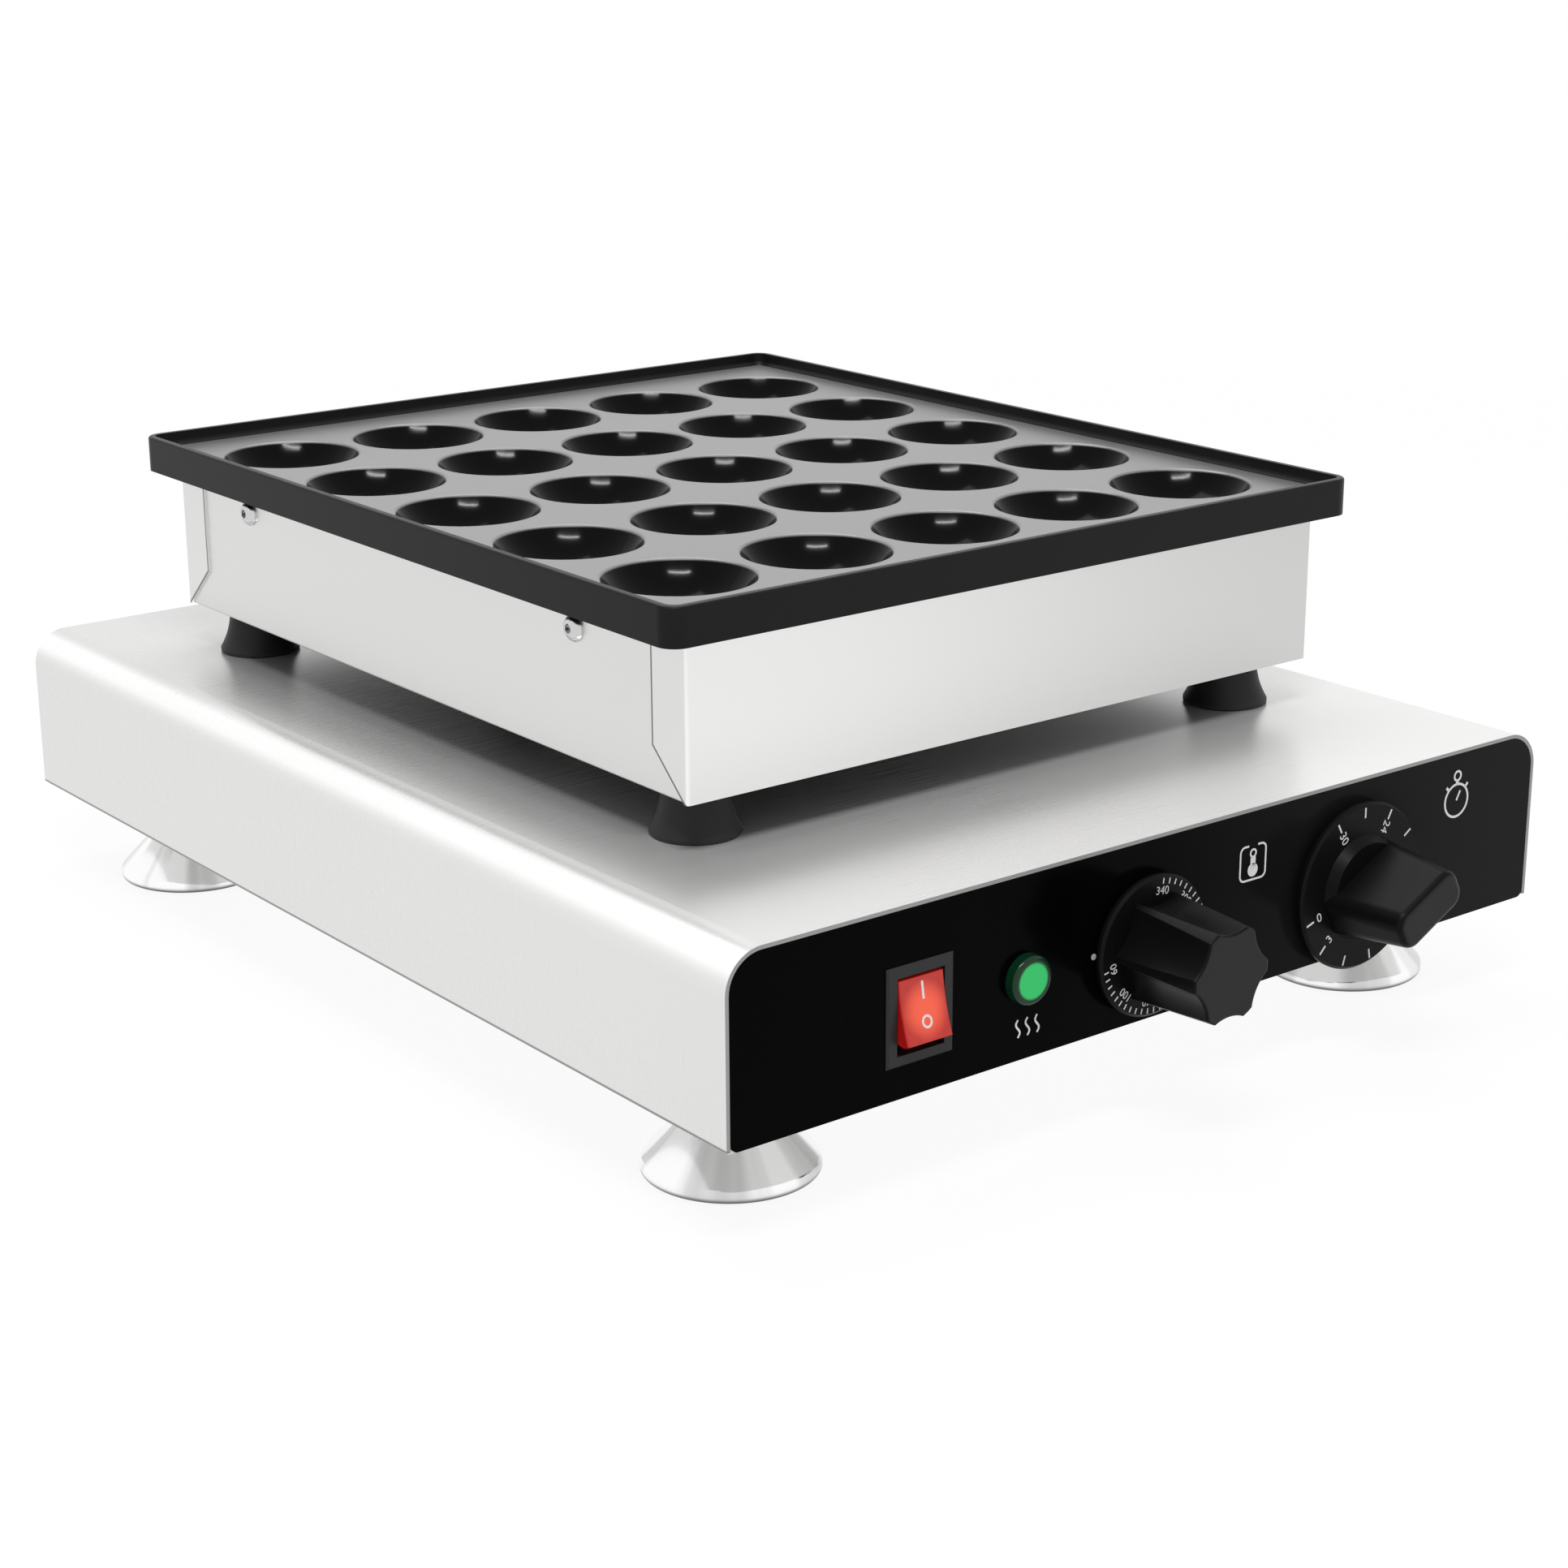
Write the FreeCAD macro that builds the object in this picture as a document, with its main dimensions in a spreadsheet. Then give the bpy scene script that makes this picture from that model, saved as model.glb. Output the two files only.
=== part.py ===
"""Tabletop mini-pancake maker: a bowl plate on a heater box, standing on a sheet-metal control base.

Millimetres. +Z is up, the control panel faces -Y, and the origin is on the table under the middle of the
whole outline, knobs and cable gland included.
"""
import FreeCAD, Part
import math
import os
from types import SimpleNamespace

import Sketcher

Vector = FreeCAD.Vector
Rotation = FreeCAD.Rotation

doc = FreeCAD.newDocument("pancake_maker")

# Driving dimensions

DIMENSIONS = {
    "base_width": 321.4,
    "base_depth": 412,
    "cover_height": 55.3,
    "cover_bend": 12,
    "cover_sheet": 1.2,
    "cover_flange": 14,
    "panel_sheet": 1.2,
    "panel_gap": 0.2,
    "panel_corner": 2.5,
    "foot_height": 29.3,
    "foot_radius": 25.8,
    "foot_neck": 12,
    "foot_rim": 2.8,
    "foot_shoulder": 3,
    "foot_flare": 9.3,
    "foot_inset_x": 34.9,
    "foot_inset_y": 45,
    "pad_radius": 19.5,
    "pad_height": 2,
    "standoff_height": 15.6,
    "standoff_neck": 9.8,
    "standoff_bulge": 13.6,
    "standoff_foot": 13.2,
    "standoff_flare": 26,
    "standoff_x": 107.5,
    "standoff_y": 128.5,
    "box_width": 248.4,
    "box_depth": 295.4,
    "box_sheet": 0.8,
    "box_flange": 16.4,
    "box_bend": 1.4,
    "flange_cutback": 14,
    "floor_above_box": 55,
    "wall_below_floor": 6.8,
    "tray_width": 268.4,
    "tray_depth": 309.6,
    "tray_setback": 213.2,
    "tray_floor": 5,
    "tray_wall": 2.4,
    "tray_corner": 6,
    "rim_height": 4.4,
    "skirt_drop": 7.4,
    "pitch_x": 50,
    "pitch_y": 56,
    "bowl_radius": 22.9,
    "bowl_depth": 14,
    "bowl_wall": 3,
    "bowl_lip": 0.9,
    "element_radius": 3.25,
    "element_drop": 9.6,
    "reflector_drop": 24,
    "conduit_y": 130,
    "conduit_radius": 9,
    "control_height": 23.8,
    "knob_reach": 35.3,
    "timer_reach": 32.4,
    "timer_drop": 1.3,
    "gland_reach": 20,
    "rocker_x": -95.4,
    "lamp_x": -56.7,
    "thermostat_x": -11,
    "timer_x": 76.2,
    "dial_gap": 3,
    "dial_sheet": 2,
    "thermostat_dial": 21.3,
    "timer_dial": 26.3,
    "shaft_radius": 3,
    "gland_x": 95,
    "gland_bore": 5,
    "screw_radius": 2,
    "bolt_radius": 2.5,
    "stud_radius": 3,
    "play": 0.05,
}

sheet = doc.addObject("Spreadsheet::Sheet", "dims")
for row, (alias, number) in enumerate(DIMENSIONS.items(), start=1):
    sheet.set(f"A{row}", alias.replace("_", " "))
    sheet.set(f"B{row}", str(number))
    sheet.setAlias(f"B{row}", alias)
doc.recompute()


class Size:
    """A length from the sheet, or a sum of such lengths: its value now and the formula that keeps it."""

    def __init__(self, value, formula):
        self.value = float(value)
        self.formula = formula

    def __add__(self, other):
        other = as_size(other)
        return Size(self.value + other.value, f"({self.formula} + {other.formula})")

    def __sub__(self, other):
        other = as_size(other)
        return Size(self.value - other.value, f"({self.formula} - {other.formula})")

    def __mul__(self, other):
        other = as_size(other)
        return Size(self.value * other.value, f"({self.formula} * {other.formula})")

    def __truediv__(self, other):
        other = as_size(other)
        return Size(self.value / other.value, f"({self.formula} / {other.formula})")

    def __radd__(self, other):
        return as_size(other) + self

    def __rsub__(self, other):
        return as_size(other) - self

    def __rmul__(self, other):
        return as_size(other) * self

    def __neg__(self):
        return 0 - self


def as_size(number):
    """A plain number as a size of its own."""
    return number if isinstance(number, Size) else Size(number, f"({float(number)!r})")


d = SimpleNamespace(**{alias: Size(sheet.get(alias), f"dims.{alias}") for alias in DIMENSIONS})

# Levels that several pieces share

z_pan = d.foot_height
z_cover = z_pan + d.cover_sheet
z_top = z_cover + d.cover_height
z_box = z_top + d.standoff_height
z_floor = z_box + d.floor_above_box
z_under = z_floor - d.tray_floor
z_wall = z_floor - d.wall_below_floor
z_control = z_cover + d.control_height
z_timer = z_control - d.timer_drop
y_front = (d.knob_reach - d.gland_reach) / 2 - d.base_depth / 2
y_back = y_front + d.base_depth
y_wall = y_front + d.panel_sheet
y_inside = y_wall + d.cover_sheet
y_tray = y_front + d.tray_setback
pan_width = d.base_width - 2 * (d.cover_sheet + d.panel_gap)
pan_back = y_back - 0.5

UPRIGHT = Rotation()
ALONG_X = Rotation(Vector(0, 1, 0), 90)
ALONG_Y = Rotation(Vector(1, 0, 0), -90)
FACING_FRONT = Rotation(Vector(1, 0, 0), 90)
FACING_DOWN = Rotation(Vector(1, 0, 0), 180)
FACING_LEFT = Rotation(Vector(0, 1, 0), -90)
CORNERS = {"front_left": (-1, -1), "front_right": (1, -1), "back_left": (-1, 1), "back_right": (1, 1)}


# Building blocks

def bind(item, prop, size):
    """Keep one property of an item equal to a size."""
    item.setExpression(prop, as_size(size).formula)


def place(item, spot, turn=UPRIGHT):
    """Put an item at a spot of the sheet's making, turned as given."""
    item.Placement = FreeCAD.Placement(Vector(*(as_size(c).value for c in spot)), turn)
    for axis, size in zip("xyz", spot):
        bind(item, f"Placement.Base.{axis}", size)
    return item


def primitive(kind, spot, turn=UPRIGHT, **sizes):
    item = doc.addObject(f"Part::{kind}", kind.lower())
    for prop, size in sizes.items():
        bind(item, prop, size)
    return place(item, spot, turn)


def block(size, low):
    """An upright block from its three sizes and its lowest corner."""
    return primitive("Box", low, Length=size[0], Width=size[1], Height=size[2])


def centred_block(size, bottom):
    """An upright block from its three sizes and the middle of its underside."""
    x, y, z = bottom
    return block(size, (x - as_size(size[0]) / 2, y - as_size(size[1]) / 2, z))


def rod(radius, length, spot, turn=UPRIGHT):
    return primitive("Cylinder", spot, turn, Radius=radius, Height=length)


def cone(low_radius, high_radius, length, spot, turn=UPRIGHT):
    return primitive("Cone", spot, turn, Radius1=low_radius, Radius2=high_radius, Height=length)


def hexagon(radius, length, spot, turn=UPRIGHT):
    item = primitive("Prism", spot, turn, Circumradius=radius, Height=length)
    item.Polygon = 6
    return item


def group(items):
    item = doc.addObject("Part::Compound", "group")
    item.Links = items
    return item


def fuse(items):
    item = doc.addObject("Part::MultiFuse", "fuse")
    item.Shapes = items
    return item


def cut(base, tools):
    item = doc.addObject("Part::Cut", "cut")
    item.Base = base
    item.Tool = tools[0] if len(tools) == 1 else group(tools)
    return item


def soften(base, radius, pick, kind="Fillet"):
    """Round or bevel the edges of an item that a test picks out."""
    doc.recompute()
    reach = as_size(radius).value
    item = doc.addObject(f"Part::{kind}", kind.lower())
    item.Base = base
    item.Edges = [(i, reach, reach) for i, edge in enumerate(base.Shape.Edges, start=1) if pick(edge)]
    return item


def middle(edge):
    return edge.valueAt((edge.FirstParameter + edge.LastParameter) / 2)


def is_circle(edge, radius):
    """Whether an edge is a circle of this radius; the edge at a ball's pole lies on no curve at all."""
    return not edge.Degenerated and isinstance(edge.Curve, Part.Circle) and near(edge.Curve.Radius, radius)


def runs_along(edge, axis):
    """Whether an edge is straight and parallel to an axis, given as a letter."""
    if edge.Degenerated or not isinstance(edge.Curve, Part.Line):
        return False
    direction = edge.Curve.Direction
    return abs(abs(getattr(direction, axis)) - 1) < 1e-6


def near(value, size):
    return abs(value - as_size(size).value) < 1e-3


def outline(body, plane, points):
    """A closed sketch on one of the body's own planes with every corner bound to the sheet.

    A point is (x, y), or (x, y, radius) where the stretch that ends there is an arc. A positive radius has
    its centre on the left of the way along the outline, a negative one on the right.
    """
    sketch = body.newObject("Sketcher::SketchObject", "outline")
    support = [f for f in body.Origin.OriginFeatures if f.Role == plane][0]
    sketch.AttachmentSupport = [(support, "")]
    sketch.MapMode = "FlatFace"
    ends = []
    for before, point in zip(points[-1:] + points[:-1], points):
        start = Vector(as_size(before[0]).value, as_size(before[1]).value, 0)
        end = Vector(as_size(point[0]).value, as_size(point[1]).value, 0)
        if len(point) == 2:
            ends.append((sketch.addGeometry(Part.LineSegment(start, end), False), 1, 2))
            continue
        radius = as_size(point[2])
        chord = end - start
        rise = abs(radius.value) - math.sqrt(radius.value ** 2 - (chord.Length / 2) ** 2)
        right = Vector(chord.y, -chord.x, 0).normalize()
        crown = (start + end) * 0.5 + right * math.copysign(rise, radius.value)
        if radius.value > 0:
            arc = sketch.addGeometry(Part.Arc(start, crown, end), False)
            ends.append((arc, 1, 2))
        else:
            arc = sketch.addGeometry(Part.Arc(end, crown, start), False)
            ends.append((arc, 2, 1))
        held = sketch.addConstraint(Sketcher.Constraint("Radius", arc, abs(radius.value)))
        bind(sketch, f"Constraints[{held}]", radius if radius.value > 0 else -radius)
    for (line, _, last), (following, first, _) in zip(ends, ends[1:] + ends[:1]):
        sketch.addConstraint(Sketcher.Constraint("Coincident", line, last, following, first))
    for (line, _, last), point in zip(ends, points):
        for kind, size in zip(("DistanceX", "DistanceY"), point):
            size = as_size(size)
            held = sketch.addConstraint(Sketcher.Constraint(kind, -1, 1, line, last, size.value))
            bind(sketch, f"Constraints[{held}]", size)
    return sketch


def turned(points):
    """A body turned about its own upright axis from a half outline of (radius, height) points."""
    body = doc.addObject("PartDesign::Body", "turned")
    sketch = outline(body, "XZ_Plane", points)
    feature = body.newObject("PartDesign::Revolution", "turn")
    feature.Profile = sketch
    feature.ReferenceAxis = (sketch, ["V_Axis"])
    feature.Angle = 360
    return body


def extruded(plane, points, length):
    """A body padded from an outline: along -Y from XZ_Plane, +X from YZ_Plane, +Z from XY_Plane."""
    body = doc.addObject("PartDesign::Body", "extruded")
    feature = body.newObject("PartDesign::Pad", "pad")
    feature.Profile = outline(body, plane, points)
    bind(feature, "Length", length)
    body.Tip = feature
    return body


def rounded(body, radius, pick):
    """Round the edges of a body that a test picks out, in the body's own frame."""
    doc.recompute()
    base = body.Tip
    names = [f"Edge{i}" for i, edge in enumerate(base.Shape.Edges, start=1) if pick(edge)]
    feature = body.newObject("PartDesign::Fillet", "round")
    feature.Base = (base, names)
    bind(feature, "Radius", radius)
    body.Tip = feature
    return body


def tube(points, radius, bend):
    """A round rod along straight runs that tangent arcs of one bend radius join."""
    spots = [Vector(*(as_size(c).value for c in point)) for point in points]
    bend = as_size(bend).value
    edges = []
    start = spots[0]
    for before, corner, after in zip(spots, spots[1:], spots[2:]):
        back = (before - corner).normalize()
        ahead = (after - corner).normalize()
        half_turn = (math.pi - back.getAngle(ahead)) / 2
        setback = bend * math.tan(half_turn)
        inward = (back + ahead).normalize()
        crown = corner + inward * (bend / math.cos(half_turn) - bend)
        if (corner + back * setback - start).Length > 1e-6:
            edges.append(Part.LineSegment(start, corner + back * setback).toShape())
        start = corner + ahead * setback
        edges.append(Part.Arc(corner + back * setback, crown, start).toShape())
    edges.append(Part.LineSegment(start, spots[-1]).toShape())
    ring = Part.Wire(Part.makeCircle(as_size(radius).value, spots[0], spots[1] - spots[0]))
    item = doc.addObject("Part::Feature", "tube")
    item.Shape = Part.Wire(edges).makePipeShell([ring], True, False)
    return item


def screw(spot, turn, radius, length, head_radius, head_height):
    """A screw whose head stands on the spot and whose shank goes the other way."""
    head = rod(head_radius, head_height, (0, 0, 0))
    shank = rod(radius, length, (0, 0, -as_size(length)))
    return place(fuse([head, shank]), spot, turn)


def hex_bolt(spot, turn, radius, length, head_radius, head_height):
    head = hexagon(head_radius, head_height, (0, 0, 0))
    shank = rod(radius, length, (0, 0, -as_size(length)))
    return place(fuse([head, shank]), spot, turn)


def nut(spot, turn, radius, bore, height):
    ring = cut(hexagon(radius, height, (0, 0, 0)), [rod(bore, height + 2, (0, 0, -1))])
    return place(ring, spot, turn)


# Places that several pieces share

foot_spots = {
    name: (side * (d.base_width / 2 - d.foot_inset_x),
           y_front + d.foot_inset_y if end < 0 else y_back - d.foot_inset_y)
    for name, (side, end) in CORNERS.items()
}
standoff_spots = {
    name: (side * d.standoff_x, y_tray + end * d.standoff_y) for name, (side, end) in CORNERS.items()
}
cover_screw_spots = [
    (side * (d.base_width / 2 - d.cover_flange * 0.6), y_front + d.base_depth * share)
    for side in (-1, 1) for share in (0.12, 0.5, 0.88)
]
side_screw_y = [y_tray - 92.9, y_tray + 100.1]
side_screw_z = z_floor - 15.1
bracket_y = [y_tray - d.pitch_y * 1.5, y_tray + d.pitch_y * 1.5]
bracket_screw_x = d.box_width / 2 - 7.6
clamp_y = [y_tray - d.pitch_y * 1.5, y_tray + d.pitch_y * 0.5, y_tray + d.pitch_y * 1.5]
clamp_x = [-d.pitch_x, 0, d.pitch_x]
conduit_spot = (0, y_tray + d.conduit_y)
element_ends = [-1.5 * d.pitch_x, -0.5 * d.pitch_x, 0.5 * d.pitch_x, 1.5 * d.pitch_x]
element_end_y = y_tray + 132
knob_spots = {"thermostat": (d.thermostat_x, z_control), "timer": (d.timer_x, z_timer)}
control_screw_offset = 14


# The base

def base_cover():
    half = d.base_width / 2
    inner = half - d.cover_sheet
    ceiling = d.cover_height - d.cover_sheet
    section = [(-half, 0), (-inner, 0), (-inner, ceiling), (inner, ceiling),
               (inner, 0), (half, 0), (half, d.cover_height), (-half, d.cover_height)]
    shell = extruded("XZ_Plane", section, d.base_depth)
    rounded(shell, d.cover_bend, lambda e: runs_along(e, "y") and near(middle(e).z, d.cover_height))
    rounded(shell, d.cover_bend - d.cover_sheet, lambda e: runs_along(e, "y") and near(middle(e).z, ceiling)
            and near(abs(middle(e).x), inner))
    place(shell, (0, y_back, z_cover))
    end_gap = d.panel_sheet + d.cover_sheet + 2
    flange = (d.cover_flange, d.base_depth - 2 * end_gap, d.cover_sheet)
    flanges = [block(flange, (x, y_front + end_gap, z_cover)) for x in (-inner, inner - d.cover_flange)]
    below = z_top - d.cover_sheet * 2
    holes = [rod(d.bolt_radius + 0.2, d.cover_sheet * 3, (x, y, below)) for x, y in standoff_spots.values()]
    holes.append(rod(d.conduit_radius + 3, d.cover_sheet * 3, (*conduit_spot, below)))
    holes += [rod(d.screw_radius + d.play, d.cover_sheet * 3, (x, y, z_cover - d.cover_sheet))
              for x, y in cover_screw_spots]
    return cut(fuse([shell] + flanges), holes)


def control_holes(y_from, depth):
    """Cutters for the switch, the lamp and the two shafts with their screws, through the front sheets."""
    cutters = [block((21.5, depth, 25.5), (d.rocker_x - 10.75, y_from, z_control - 12.75)),
               rod(6.1, depth, (d.lamp_x, y_from, z_control), ALONG_Y)]
    for x, z in knob_spots.values():
        cutters.append(rod(5.2, depth, (x, y_from, z), ALONG_Y))
        cutters += [rod(d.screw_radius + 0.1, depth, (x + side * control_screw_offset, y_from, z), ALONG_Y)
                    for side in (-1, 1)]
    return cutters


def base_pan():
    sheet_metal = d.cover_sheet
    wall_top = d.cover_height - 0.2
    reach = pan_back - y_wall
    section = [(0, 0), (reach, 0), (reach, wall_top), (reach - sheet_metal, wall_top),
               (reach - sheet_metal, sheet_metal), (sheet_metal, sheet_metal), (sheet_metal, wall_top),
               (0, wall_top)]
    pan = extruded("YZ_Plane", section, pan_width)
    rounded(pan, d.cover_bend - sheet_metal, lambda e: runs_along(e, "y") and near(middle(e).z, wall_top))
    place(pan, (-pan_width / 2, y_wall, z_pan))
    through = sheet_metal * 4
    cutters = control_holes(y_front - 1, through)
    cutters.append(rod(8.3, through, (d.gland_x, pan_back - through / 2, z_control), ALONG_Y))
    floor_from = z_pan - sheet_metal
    cutters += [rod(d.stud_radius + 0.2, through, (x, y, floor_from)) for x, y in foot_spots.values()]
    cutters += [rod(d.screw_radius + 0.2, through, (x, y, floor_from)) for x, y in cover_screw_spots]
    cutters.append(rod(d.bolt_radius + 0.1, through, (-60, y_back - 40, floor_from)))
    for column in range(8):
        cutters += [centred_block((4, through, 26), (x + column * 9, pan_back, z_control - 13))
                    for x in (-130, -20)]
        cutters += [centred_block((60, 4, through), (x, y_front + 150 + column * 12, floor_from))
                    for x in (-80, 80)]
    return cut(pan, cutters)


def control_panel():
    low = z_cover - 0.6
    high = z_cover + d.cover_height - d.cover_sheet - d.panel_gap
    sheet_face = block((pan_width, d.panel_sheet, high - low), (-pan_width / 2, y_front, low))
    upper = soften(sheet_face, d.cover_bend - d.cover_sheet,
                   lambda e: runs_along(e, "y") and near(middle(e).z, high))
    lower = soften(upper, d.panel_corner, lambda e: runs_along(e, "y") and near(middle(e).z, low))
    return cut(lower, control_holes(y_front - 1, d.panel_sheet * 4))


def cover_screws():
    return group([screw((x, y, z_pan), FACING_DOWN, d.screw_radius, d.cover_sheet * 2 + 3, 3.8, 1.2)
                  for x, y in cover_screw_spots])


def foot(spot):
    """A flared foot with a stud on top and a shallow seat for its rubber pad below."""
    lip = 0.8
    seat = d.pad_radius + 0.5
    slope = math.radians(47)
    inward = 1 - math.sin(slope)
    upward = math.cos(slope)
    cone_foot = (d.foot_radius - d.foot_shoulder * inward, d.foot_rim + d.foot_shoulder * upward)
    cone_head_radius = d.foot_neck + d.foot_flare * inward
    cone_head = (cone_head_radius, cone_foot[1] + (cone_foot[0] - cone_head_radius) * math.tan(slope))
    profile = [(0, d.pad_height), (seat, d.pad_height), (seat, lip), (d.foot_radius - 1.2, lip),
               (d.foot_radius, lip + 1.2, 1.2), (d.foot_radius, d.foot_rim),
               (*cone_foot, d.foot_shoulder), cone_head,
               (d.foot_neck, cone_head[1] + d.foot_flare * upward, -d.foot_flare),
               (d.foot_neck, d.foot_height),
               (d.stud_radius, d.foot_height), (d.stud_radius, d.foot_height + 12), (0, d.foot_height + 12)]
    return place(turned(profile), (*spot, 0))


def foot_pads():
    return group([rod(d.pad_radius, d.pad_height, (x, y, 0)) for x, y in foot_spots.values()])


def foot_nuts():
    return group([nut((x, y, z_cover), UPRIGHT, 5.8, d.stud_radius + d.play, 5)
                  for x, y in foot_spots.values()])


def standoff(spot):
    """A flared rubber spacer with a clearance hole for its bolt."""
    hole = d.bolt_radius + 0.3
    profile = [(hole, 0), (d.standoff_foot, 0), (d.standoff_bulge, 0.5), (d.standoff_bulge, 1.4),
               (d.standoff_neck, d.standoff_height, -d.standoff_flare), (hole, d.standoff_height)]
    return place(turned(profile), (*spot, z_top))


def standoff_bolts():
    length = d.cover_sheet + d.standoff_height + d.box_sheet + 8
    return group([hex_bolt((x, y, z_top - d.cover_sheet), FACING_DOWN, d.bolt_radius, length, 4.6, 3.5)
                  for x, y in standoff_spots.values()])


def standoff_nuts():
    return group([nut((x, y, z_box + d.box_sheet), UPRIGHT, 4.6, d.bolt_radius + d.play, 4.5)
                  for x, y in standoff_spots.values()])


# The heater box

def heater_pan():
    half = d.box_width / 2 - d.box_sheet
    inner = half - d.box_sheet
    height = z_wall - z_box
    section = [(-half, 0), (half, 0), (half, height), (inner, height), (inner, d.box_sheet),
               (-inner, d.box_sheet), (-inner, height), (-half, height)]
    depth = d.box_depth - 2 * d.box_sheet
    pan = extruded("XZ_Plane", section, depth)
    rounded(pan, d.box_sheet, lambda e: runs_along(e, "y") and near(middle(e).z, 0))
    place(pan, (0, y_tray + depth / 2, z_box))
    holes = [rod(d.bolt_radius + 0.2, 4, (x, y, z_box - 1)) for x, y in standoff_spots.values()]
    holes.append(rod(d.conduit_radius + 3, 4, (*conduit_spot, z_box - 1)))
    holes += [rod(d.screw_radius + 0.1, d.box_width + 2, (-d.box_width / 2 - 1, y, side_screw_z), ALONG_X)
              for y in side_screw_y]
    return cut(pan, holes)


def heater_wall(end):
    """The front (end -1) or back (end 1) wall with return flanges cut away towards the bottom corner."""
    half = d.box_width / 2
    inner = half - d.box_sheet
    height = z_wall - z_box
    section = [(-half, 0), (half, 0), (half, d.box_flange), (inner, d.box_flange),
               (inner, d.box_sheet), (-inner, d.box_sheet), (-inner, d.box_flange), (-half, d.box_flange)]
    wall = extruded("XY_Plane", section, height)
    rounded(wall, d.box_bend, lambda e: runs_along(e, "z") and near(middle(e).y, 0))
    slope = [(d.box_bend, 0), (d.box_flange + 1, 0), (d.box_flange + 1, d.flange_cutback + 1)]
    wedge = extruded("YZ_Plane", slope, d.box_width + 2)
    place(wedge, (-half - 1, 0, -0.01))
    if end < 0:
        return place(cut(wall, [wedge]), (0, y_tray - d.box_depth / 2, z_box))
    return place(cut(wall, [wedge]), (0, y_tray + d.box_depth / 2, z_box), Rotation(Vector(0, 0, 1), 180))


def side_screws():
    """Button-head socket screws through the box's sides, two on each side."""
    screws = []
    for side, turn in ((-1, FACING_LEFT), (1, ALONG_X)):
        for y in side_screw_y:
            length = d.box_sheet + 5
            profile = [(0, -length), (d.screw_radius, -length), (d.screw_radius, 0), (4.2, 0), (4.2, 0.5),
                       (2, 2.4, 3.4), (0, 2.4)]
            blank = place(turned(profile), (0, 0, 0))
            socket = hexagon(1.6, 3, (0, 0, 0.9))
            spot = (side * (d.box_width / 2 - d.box_sheet), y, side_screw_z)
            screws.append(place(cut(blank, [socket]), spot, turn))
    return group(screws)


def tray_brackets():
    """Four small angles that hang the plate from the box's sides."""
    leg = 1.5
    reach = 10.5
    width = 11
    inner = d.box_width / 2 - 2 * d.box_sheet
    angles = []
    for side in (-1, 1):
        upright_x = inner - leg if side > 0 else -inner
        shelf_x = inner - reach if side > 0 else -inner
        for end, y, screw_y in zip((-1, 1), bracket_y, side_screw_y):
            low_y = y - width / 2
            upright_y = low_y if end > 0 else low_y + width - 26
            upright = block((leg, 26, 18), (upright_x, upright_y, z_under - 19))
            neck = block((leg, width, 2), (upright_x, low_y, z_under - 2))
            shelf = block((reach, width, leg), (shelf_x, low_y, z_under - leg))
            hole = rod(d.screw_radius + d.play, leg + 2, (upright_x - 1, screw_y, side_screw_z), ALONG_X)
            riser = rod(d.screw_radius + 0.1, 6, (side * bracket_screw_x, y, z_under - 4))
            angles.append(cut(fuse([upright, neck, shelf]), [hole, riser]))
    return group(angles)


def bracket_screws():
    return group([screw((side * bracket_screw_x, y, z_under - 1.5), FACING_DOWN, d.screw_radius, 5, 3.5, 2)
                  for side in (-1, 1) for y in bracket_y])


def baking_tray():
    """The cast plate: floor, rim and skirt in one, with twenty-five bowls sunk into it."""
    ball = (d.bowl_radius * d.bowl_radius + d.bowl_depth * d.bowl_depth) / (2 * d.bowl_depth)
    ball_z = z_floor + ball - d.bowl_depth
    half_x = d.tray_width / 2
    half_y = d.tray_depth / 2
    full = block((d.tray_width, d.tray_depth, d.rim_height + d.skirt_drop),
                 (-half_x, y_tray - half_y, z_floor - d.skirt_drop))
    full = soften(full, d.tray_corner, lambda e: runs_along(e, "z"))
    full = soften(full, 0.8, lambda e: near(middle(e).z, z_floor + d.rim_height))
    inner = (d.tray_width - 2 * d.tray_wall, d.tray_depth - 2 * d.tray_wall)
    inner_low = (-half_x + d.tray_wall, y_tray - half_y + d.tray_wall)
    above = soften(block((*inner, d.rim_height + 1), (*inner_low, z_floor)), d.tray_corner - d.tray_wall,
                   lambda e: runs_along(e, "z"))
    above = soften(above, 1.6, lambda e: near(middle(e).z, z_floor))
    below = block((*inner, d.skirt_drop - d.tray_floor + 1), (*inner_low, z_floor - d.skirt_drop - 1))
    below = soften(below, d.tray_corner - d.tray_wall, lambda e: runs_along(e, "z"))
    steps = (-2, -1, 0, 1, 2)
    centres = [(d.pitch_x * column, y_tray + d.pitch_y * row, ball_z) for column in steps for row in steps]
    clip_low = z_under + 0.5 - ball * 2
    clip = block((d.tray_width, d.tray_depth, ball * 2), (-half_x, y_tray - half_y, clip_low))
    bosses = []
    for centre in centres:
        boss = doc.addObject("Part::Common", "boss")
        boss.Base = primitive("Sphere", centre, Radius=ball + d.bowl_wall)
        boss.Tool = clip
        bosses.append(boss)
    plate = fuse([cut(full, [above, below])] + bosses)
    bowls = [primitive("Sphere", centre, Radius=ball) for centre in centres]
    plate = cut(plate, bowls)
    plate = soften(plate, d.bowl_lip, lambda e: is_circle(e, d.bowl_radius) and near(middle(e).z, z_floor))
    taps = [rod(d.screw_radius + d.play, 3.6, (side * bracket_screw_x, y, z_under - 0.1))
            for side in (-1, 1) for y in bracket_y]
    taps += [rod(d.screw_radius + d.play, 3.6, (x, y, z_under - 0.1)) for x in clamp_x for y in clamp_y]
    return cut(plate, taps)


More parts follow.
